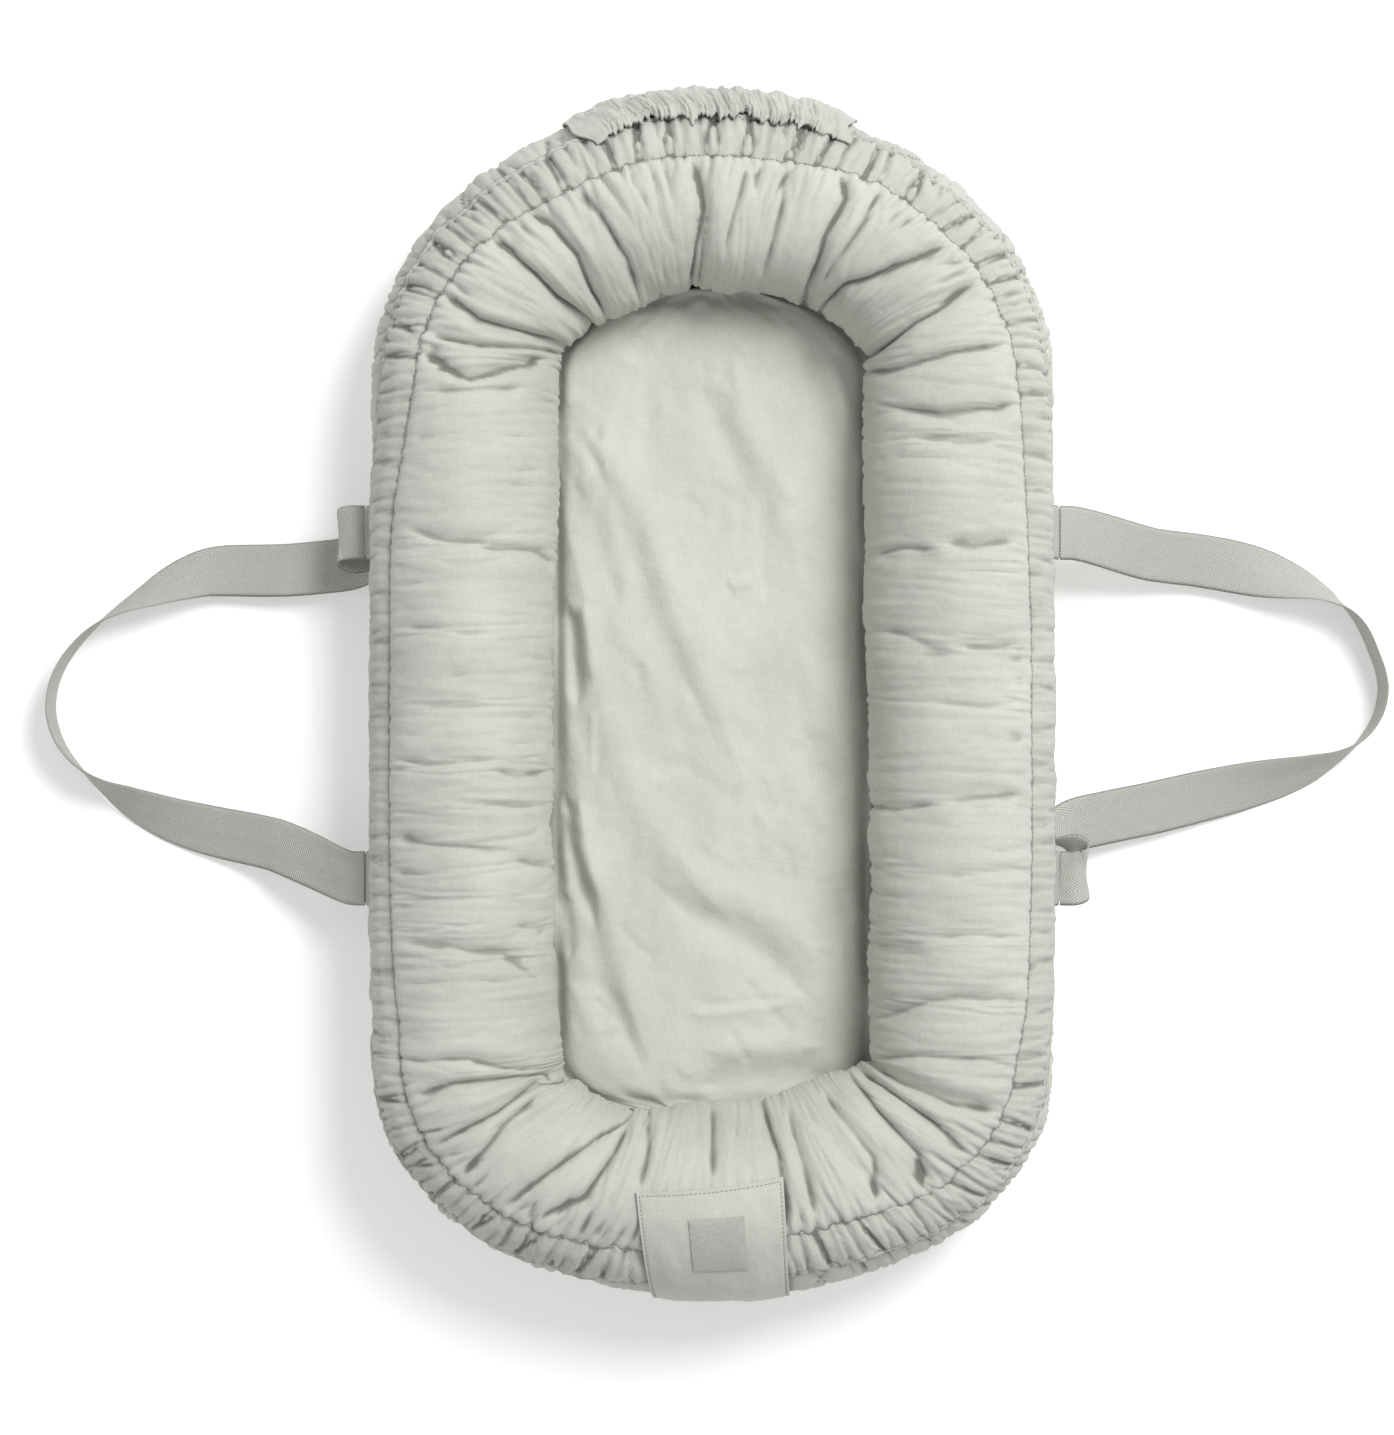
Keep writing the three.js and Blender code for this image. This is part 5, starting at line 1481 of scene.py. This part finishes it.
def make_head_flap():
    rng = np.random.default_rng(71)
    columns, rows = FLAP_GRID
    share, down = unit_grid(columns, rows)
    cell = columns / 520

    def noise(wide, high, kind=wave_noise, lines=rows):
        return kind(rng, (lines, columns), wide, high)

    side = np.minimum(share, 1 - share) * HEM_LENGTH
    turn = flap_turn(share, down) + noise(30, 8) * 0.0014 * np.exp(-side / FLAP_SIDE_REACH)
    stand = smooth(side / FLAP_SIDE_REACH)
    lift = mix(CASING_LIFT + 0.0012, CLOTH + 3 * GAP, smooth((down - 0.25) / 0.75))
    frill = noise(6.0 * cell, 20 * cell) * 0.5
    frill += noise(3.2 * cell, 12 * cell) * 0.5
    sway = noise(18 * cell, 1, lines=1)
    hem = np.clip(down / 0.10, 0, 1)
    roll = HEM_ROLL * np.sqrt(np.clip(np.sin(math.pi * hem), 0, 1))
    pleat = flap_pleats(rng, share, down)
    soft = noise(14 * cell, 9 * cell) * 0.0009
    fine = noise(3.6 * cell, 9 * cell, crinkles) * 0.0013 * np.exp(-down / 0.16)
    fine += noise(9.0 * cell, 14 * cell, crinkles) * 0.0012
    ruffle = frill * (0.0010 * np.exp(-down / 0.05) + 0.00025)
    swell = FLAP_FULLNESS * smooth(down / 0.18) + soft + fine + ruffle - pleat
    front_lift = lift + CLOTH + roll * stand
    front_lift += smooth((1 - down) / 0.08) * stand * swell
    front_lift = np.maximum(front_lift, lift + FLAP_LEAST * stand + CLOTH * (1 - stand))
    sideways = (0.030 * frill + 0.03 * sway) * np.exp(-down / 0.07) * stand
    angle = flap_angle(turn, down) + sideways
    # Painted shade: darker in the flap's pleats and in the valleys of its crinkles.
    depth = np.clip(pleat * 0.8 - fine * 1.2, 0, 0.01)[:, ::-1]
    front, back = (over(turn, angle, height)[:, ::-1] for height in (front_lift, lift))
    obj = sheet_mesh("head_flap_cloth", front, back, depth)
    obj.data.materials.append(shaded_band_cotton)
    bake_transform(obj)
    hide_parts("head_flap")
    return obj


def make_flap_elastic():
    turns = np.linspace(HEM_TURNS[0] + ELASTIC_IN, HEM_TURNS[-1] - ELASTIC_IN, 90)
    path = over(turns, flap_angle(turns, ELASTIC_DOWN), CASING_LIFT + ELASTIC_LIFT)
    obj = tube("hem_elastic", path, ELASTIC_RADIUS, 8)
    return finish_piece(obj, elastic_weave, "flap", "elastic", "flap_elastic")


# Carrying straps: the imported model's own rows: how far out, along and up, and how turned on edge
STRAP_WIDTH, STRAP_THICKNESS, STRAP_REACH = 0.038, 0.0018, 0.229
HINGE_OUT, HINGE_HEIGHT = 0.24338, 0.06745
ROOT_MIDDLE, ROOT_HALF_SPACING = -0.006, 0.121
ROOT_FOLD, ROOT_BEND = 0.060, (0.001, 0.030)
STRAP_STEPS, STRAP_COLUMNS, TURN_AVERAGE = 320, 15, 17
LEFT_STRAP_SHARES = [
    (0, 1, 1, 0), (0.042, 1, 1.02, 0), (0.078, 0.985, 0.93, 0), (0.072, 0.95, 0.78, 0),
    (0.036, 0.91, 0.64, 0), (0.022, 0.875, 0.50, 0), (0.060, 0.84, 0.38, 0),
    (0.14, 0.82, 0.30, 0.02), (0.27, 0.80, 0.26, 0.06), (0.4, 0.80, 0.17, 0.1),
    (0.52, 0.79, 0.14, 0.2), (0.68, 0.67, 0.2, 0.6), (0.83, 0.52, 0.24, 0.95),
    (0.93, 0.34, 0.24, 1), (0.985, 0.16, 0.24, 1), (1, -0.04, 0.24, 1), (0.965, -0.24, 0.24, 1),
    (0.88, -0.42, 0.24, 0.92), (0.77, -0.55, 0.22, 0.6), (0.62, -0.68, 0.16, 0.3),
    (0.46, -0.76, 0.16, 0.12), (0.3, -0.82, 0.34, 0.05), (0.15, -0.93, 0.62, 0),
    (0.05, -1, 0.88, 0), (0, -1, 1, 0),
]
RIGHT_STRAP_SHARES = [
    (0, 1, 1, 0), (0.05, 1, 0.88, 0), (0.15, 0.96, 0.7, -0.02), (0.3, 0.89, 0.42, -0.08),
    (0.45, 0.86, 0.24, -0.10), (0.6, 0.81, 0.18, 0.06), (0.74, 0.74, 0.18, 0.45),
    (0.87, 0.64, 0.23, 0.85), (0.95, 0.51, 0.24, 1), (1, 0.32, 0.24, 1), (1.03, 0.12, 0.24, 1),
    (1.01, -0.07, 0.24, 1), (0.94, -0.24, 0.24, 0.95), (0.82, -0.36, 0.22, 0.65),
    (0.64, -0.46, 0.16, 0.3), (0.46, -0.54, 0.16, 0.12), (0.3, -0.61, 0.22, 0.05),
    (0.14, -0.67, 0.30, 0), (0.060, -0.71, 0.38, 0), (0.022, -0.78, 0.50, 0),
    (0.036, -0.85, 0.64, 0), (0.072, -0.92, 0.78, 0), (0.078, -0.975, 0.93, 0),
    (0.042, -1, 1.02, 0), (0, -1, 1, 0),
]


def smooth_path(points, steps):
    """A centripetal curve through the points, with the point number reached at each step."""
    points = np.asarray(points, float)
    points = np.concatenate([[2 * points[0] - points[1]], points, [2 * points[-1] - points[-2]]])
    places, numbers = [], np.linspace(0, len(points) - 3, steps + 1)
    for number in numbers:
        i = min(int(number), len(points) - 4)
        p = points[i:i + 4]
        knots = np.append(0, np.cumsum(np.sqrt(np.linalg.norm(np.diff(p, axis=0), axis=1))))
        t = mix(knots[1], knots[2], number - i)
        while len(p) > 1:
            order = 5 - len(p)
            share = ((t - knots[:len(p) - 1]) / (knots[order:] - knots[:-order]))[:, None]
            p = mix(p[:-1], p[1:], share)
        places.append(p[0])
    return np.array(places), numbers


def strap_grid(sign, shares):
    """A strap's centreline, and its unit directions across its width and its thickness."""
    rows = np.array(shares, float)
    standing = rows[:, 3] * math.pi / 2
    lowest = STRAP_WIDTH / 2 * np.sin(standing) + STRAP_THICKNESS * np.cos(standing) + GAP
    points = np.stack([
        sign * (HINGE_OUT + rows[:, 0] * STRAP_REACH),
        ROOT_MIDDLE + rows[:, 1] * ROOT_HALF_SPACING,
        np.maximum(rows[:, 2] * HINGE_HEIGHT, lowest),
    ], -1)
    centre, numbers = smooth_path(points, STRAP_STEPS)
    turned = np.interp(numbers, np.arange(len(rows)), rows[:, 3]) * math.pi / 2
    turned = np.pad(turned, TURN_AVERAGE // 2, mode="edge")
    turned = np.convolve(turned, np.ones(TURN_AVERAGE) / TURN_AVERAGE, mode="valid")[:, None]
    tangent = np.gradient(centre, axis=0)
    tangent[[0, -1], 1] = 0
    tangent = unit(tangent)
    flat = np.stack([-tangent[:, 1], tangent[:, 0], np.zeros(len(tangent))], -1) * -sign
    flat /= np.maximum(np.linalg.norm(flat, axis=1, keepdims=True), 1e-6)
    run = lengths_along(centre)
    at_root = smooth(1.4 - np.minimum(run, run[-1] - run) / ROOT_FOLD)[:, None]
    first = np.arange(len(flat)) < len(flat) / 2
    root_way = np.where(first, -1.0, 1.0)[:, None] * np.array([[0, 1.0, 0]])
    flat = unit(mix(flat, root_way, at_root))
    wide = flat * np.cos(turned) + np.array([0, 0, 1.0]) * np.sin(turned)
    wide = unit(wide - tangent * np.sum(wide * tangent, 1, keepdims=True))
    return centre, wide, np.cross(tangent, wide)


def ribbon(name, centre, wide, thick):
    """A webbing strap with rounded selvedges, whose cloth coordinates run along and across it."""
    half = np.linspace(-1, 1, STRAP_COLUMNS)
    rise = np.sqrt(np.clip(1 - np.abs(half) ** 14, 0, 1)) * 0.5
    lane = np.concatenate([half, half[::-1][1:-1]]) * STRAP_WIDTH / 2
    side = np.concatenate([rise, -rise[::-1][1:-1]]) * STRAP_THICKNESS
    points = centre[:, None] + wide[:, None] * lane[None, :, None]
    points = points + thick[:, None] * side[None, :, None]
    cloth = np.broadcast_arrays(lengths_along(centre)[:, None], lane[None, :], 0.0)
    return fill_ends(grid_mesh(name, points, cloth=np.stack(cloth, -1)), len(lane))


def make_strap(name, sign, shares):
    obj = ribbon(f"{name}_webbing", *strap_grid(sign, shares))
    obj.data.materials.append(strap_webbing)
    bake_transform(obj)
    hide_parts(name)
    return obj


def make_strap_end(name, sign, end):
    """The sewn-in end of a strap: up behind the casing's lip, over the outer band."""
    y = ROOT_MIDDLE + end * ROOT_HALF_SPACING
    side = (RIGHT_TURN, HEAD_TURN) if sign > 0 else (LEFT_TURN, FOOT_TURN)
    turns = np.linspace(side[0] - 0.1, side[1] + 0.1, 900)
    edge_y = ring_place(turns, FILL_HALF_WIDTH)[1]
    order = np.argsort(edge_y)
    middle = float(np.interp(y, edge_y[order], turns[order]))
    lip, seam = (float(casing_angle(middle, share)) for share in (LIP_SHARE, 1.0))
    angles = np.linspace(lip, seam, 12)
    upper = over(middle, angles, CLOTH + 2 * GAP + STRAP_THICKNESS / 2)
    foot = (sign * (HINGE_OUT - GAP - STRAP_THICKNESS / 2), y, HINGE_HEIGHT)
    path, _ = smooth_path([upper[0], upper[3], upper[6], upper[11], foot], 40)
    path[:, 1] = y
    wide = np.broadcast_to((0.0, 1.0, 0.0), path.shape)
    tangent = unit(np.gradient(path, axis=0))
    obj = ribbon(f"{name}_webbing", path, wide, np.cross(tangent, wide))
    return finish_piece(obj, strap_webbing, "nest", "webbing", name)


# Stitches
STITCH_SIDES = 6
# A stitch's rings: how far along it, and how wide
STITCH_RINGS = ((0.0, 0.35), (0.15, 0.9), (0.5, 1.0), (0.85, 0.9), (1.0, 0.35))
SEAM_STITCH_LIFT, SEAM_STITCH_UP = 0.0024, 0.004


def stitches(name, path, pitch, length, radius):
    """A row of small thread capsules that follows a path of points."""
    run = lengths_along(path)
    build = bmesh.new()
    for start in np.arange(pitch / 2, run[-1] - length, pitch):
        ends = [
            np.array([np.interp(start + d, run, path[:, k]) for k in range(3)]) for d in (0, length)
        ]
        way = unit(ends[1] - ends[0])
        side = unit(np.cross(way, (0.1, 0.2, 0.97)))
        up = np.cross(side, way)
        rings = []
        for share, size in STITCH_RINGS:
            ring = circle(mix(*ends, share), side, up, radius * size, STITCH_SIDES)
            rings.append([build.verts.new(p) for p in ring])
        for a, b in zip(rings[:-1], rings[1:]):
            for k in range(STITCH_SIDES):
                after = (k + 1) % STITCH_SIDES
                build.faces.new([a[k], a[after], b[after], b[k]])
        build.faces.new(rings[0][::-1])
        build.faces.new(rings[-1])
    mesh = bpy.data.meshes.new(name)
    closed(mesh, build)
    return finish_piece(link(name, mesh), thread, "nest", "sage_cotton")


def make_stitches(lower_line):
    turns = np.linspace(0, RING, 2400)
    seam_line = over(turns, band_top_angle(turns) + SEAM_STITCH_UP, SEAM_STITCH_LIFT)
    lower_line = np.concatenate([lower_line, lower_line[:1]]) + 0.0002
    stitches("seam_stitches", seam_line, 0.0032, 0.0024, 0.00028)
    stitches("casing_stitches", lower_line, 0.0032, 0.0024, 0.00022)
    side, top = PATCH_STITCH_IN / PATCH_WIDTH, PATCH_STITCH_IN / PATCH_DROP
    across = [np.full(60, side), np.linspace(side, 1 - side, 70), np.full(60, 1 - side)]
    down = [np.linspace(PATCH_STITCH_END, top, 60), np.full(70, top)]
    down += [np.linspace(top, PATCH_STITCH_END, 60)]
    across, down = np.concatenate(across), np.concatenate(down)
    patch_line = patch_points(across, down, patch_lift(down) + PATCH_THICKNESS - 0.0003)
    stitches("patch_stitches", patch_line, 0.0030, 0.0019, 0.00026)


# Floor and light
FLOOR_GLOW, FLOOR_SIZE, FLOOR_DROP = 0.24, 6.0, 0.0002
KEY_PLACE, KEY_SIZE, KEY_POWER = (1.10, 1.26, 2.48), 1.2, 66
WORLD_STRENGTH = 0.56


def make_floor():
    n = Nodes("floor")
    grain = n.noise(n.place(), 900.0)
    color = n.blend(n.ramp(grain, 0.3, 0.7), (0.90, 0.90, 0.90, 1), (0.93, 0.93, 0.93, 1))
    glow = {"Emission Color": (1, 1, 1, 1), "Emission Strength": FLOOR_GLOW}
    material = n.finish(color, n.bump(grain, 0.00002), 0.9, **glow)
    mesh = bpy.data.meshes.new("floor")
    corners = [(x * FLOOR_SIZE, y * FLOOR_SIZE, 0) for x, y in ((-1, -1), (1, -1), (1, 1), (-1, 1))]
    mesh.from_pydata(corners, [], [(0, 1, 2, 3)])
    mesh.materials.append(material)
    floor = link("floor", mesh)
    floor.location.z = -FLOOR_DROP


def make_lights():
    data = bpy.data.lights.new("key", "AREA")
    data.shape, data.size, data.energy = "DISK", KEY_SIZE, KEY_POWER
    light = link("key", data)
    light.location = KEY_PLACE
    light.rotation_euler = (-Vector(KEY_PLACE)).to_track_quat("-Z", "Y").to_euler()
    world = bpy.data.worlds.new("studio")
    world.use_nodes = True
    background = world.node_tree.nodes["Background"].inputs
    background["Color"].default_value = (1, 1, 1, 1)
    background["Strength"].default_value = WORLD_STRENGTH
    bpy.context.scene.world = world
    bpy.context.scene.view_settings.view_transform = "Standard"


# Put together
make_filling()
make_cover()
lower_line = make_casing()
make_outer_band()
make_mattress_pad()
make_base_sheet()
make_base_panel()
make_drawstring()
make_lock_spring()
dress_lock()
make_foot_patch()
make_label()
make_head_flap()
make_flap_elastic()
make_strap("left_strap", -1, LEFT_STRAP_SHARES)
make_strap("right_strap", 1, RIGHT_STRAP_SHARES)
for side_name, side_sign in (("left", -1), ("right", 1)):
    for end_name, end_sign in (("head", 1), ("foot", -1)):
        make_strap_end(f"{side_name}_{end_name}_strap_end", side_sign, end_sign)
make_stitches(lower_line)
make_floor()
make_lights()
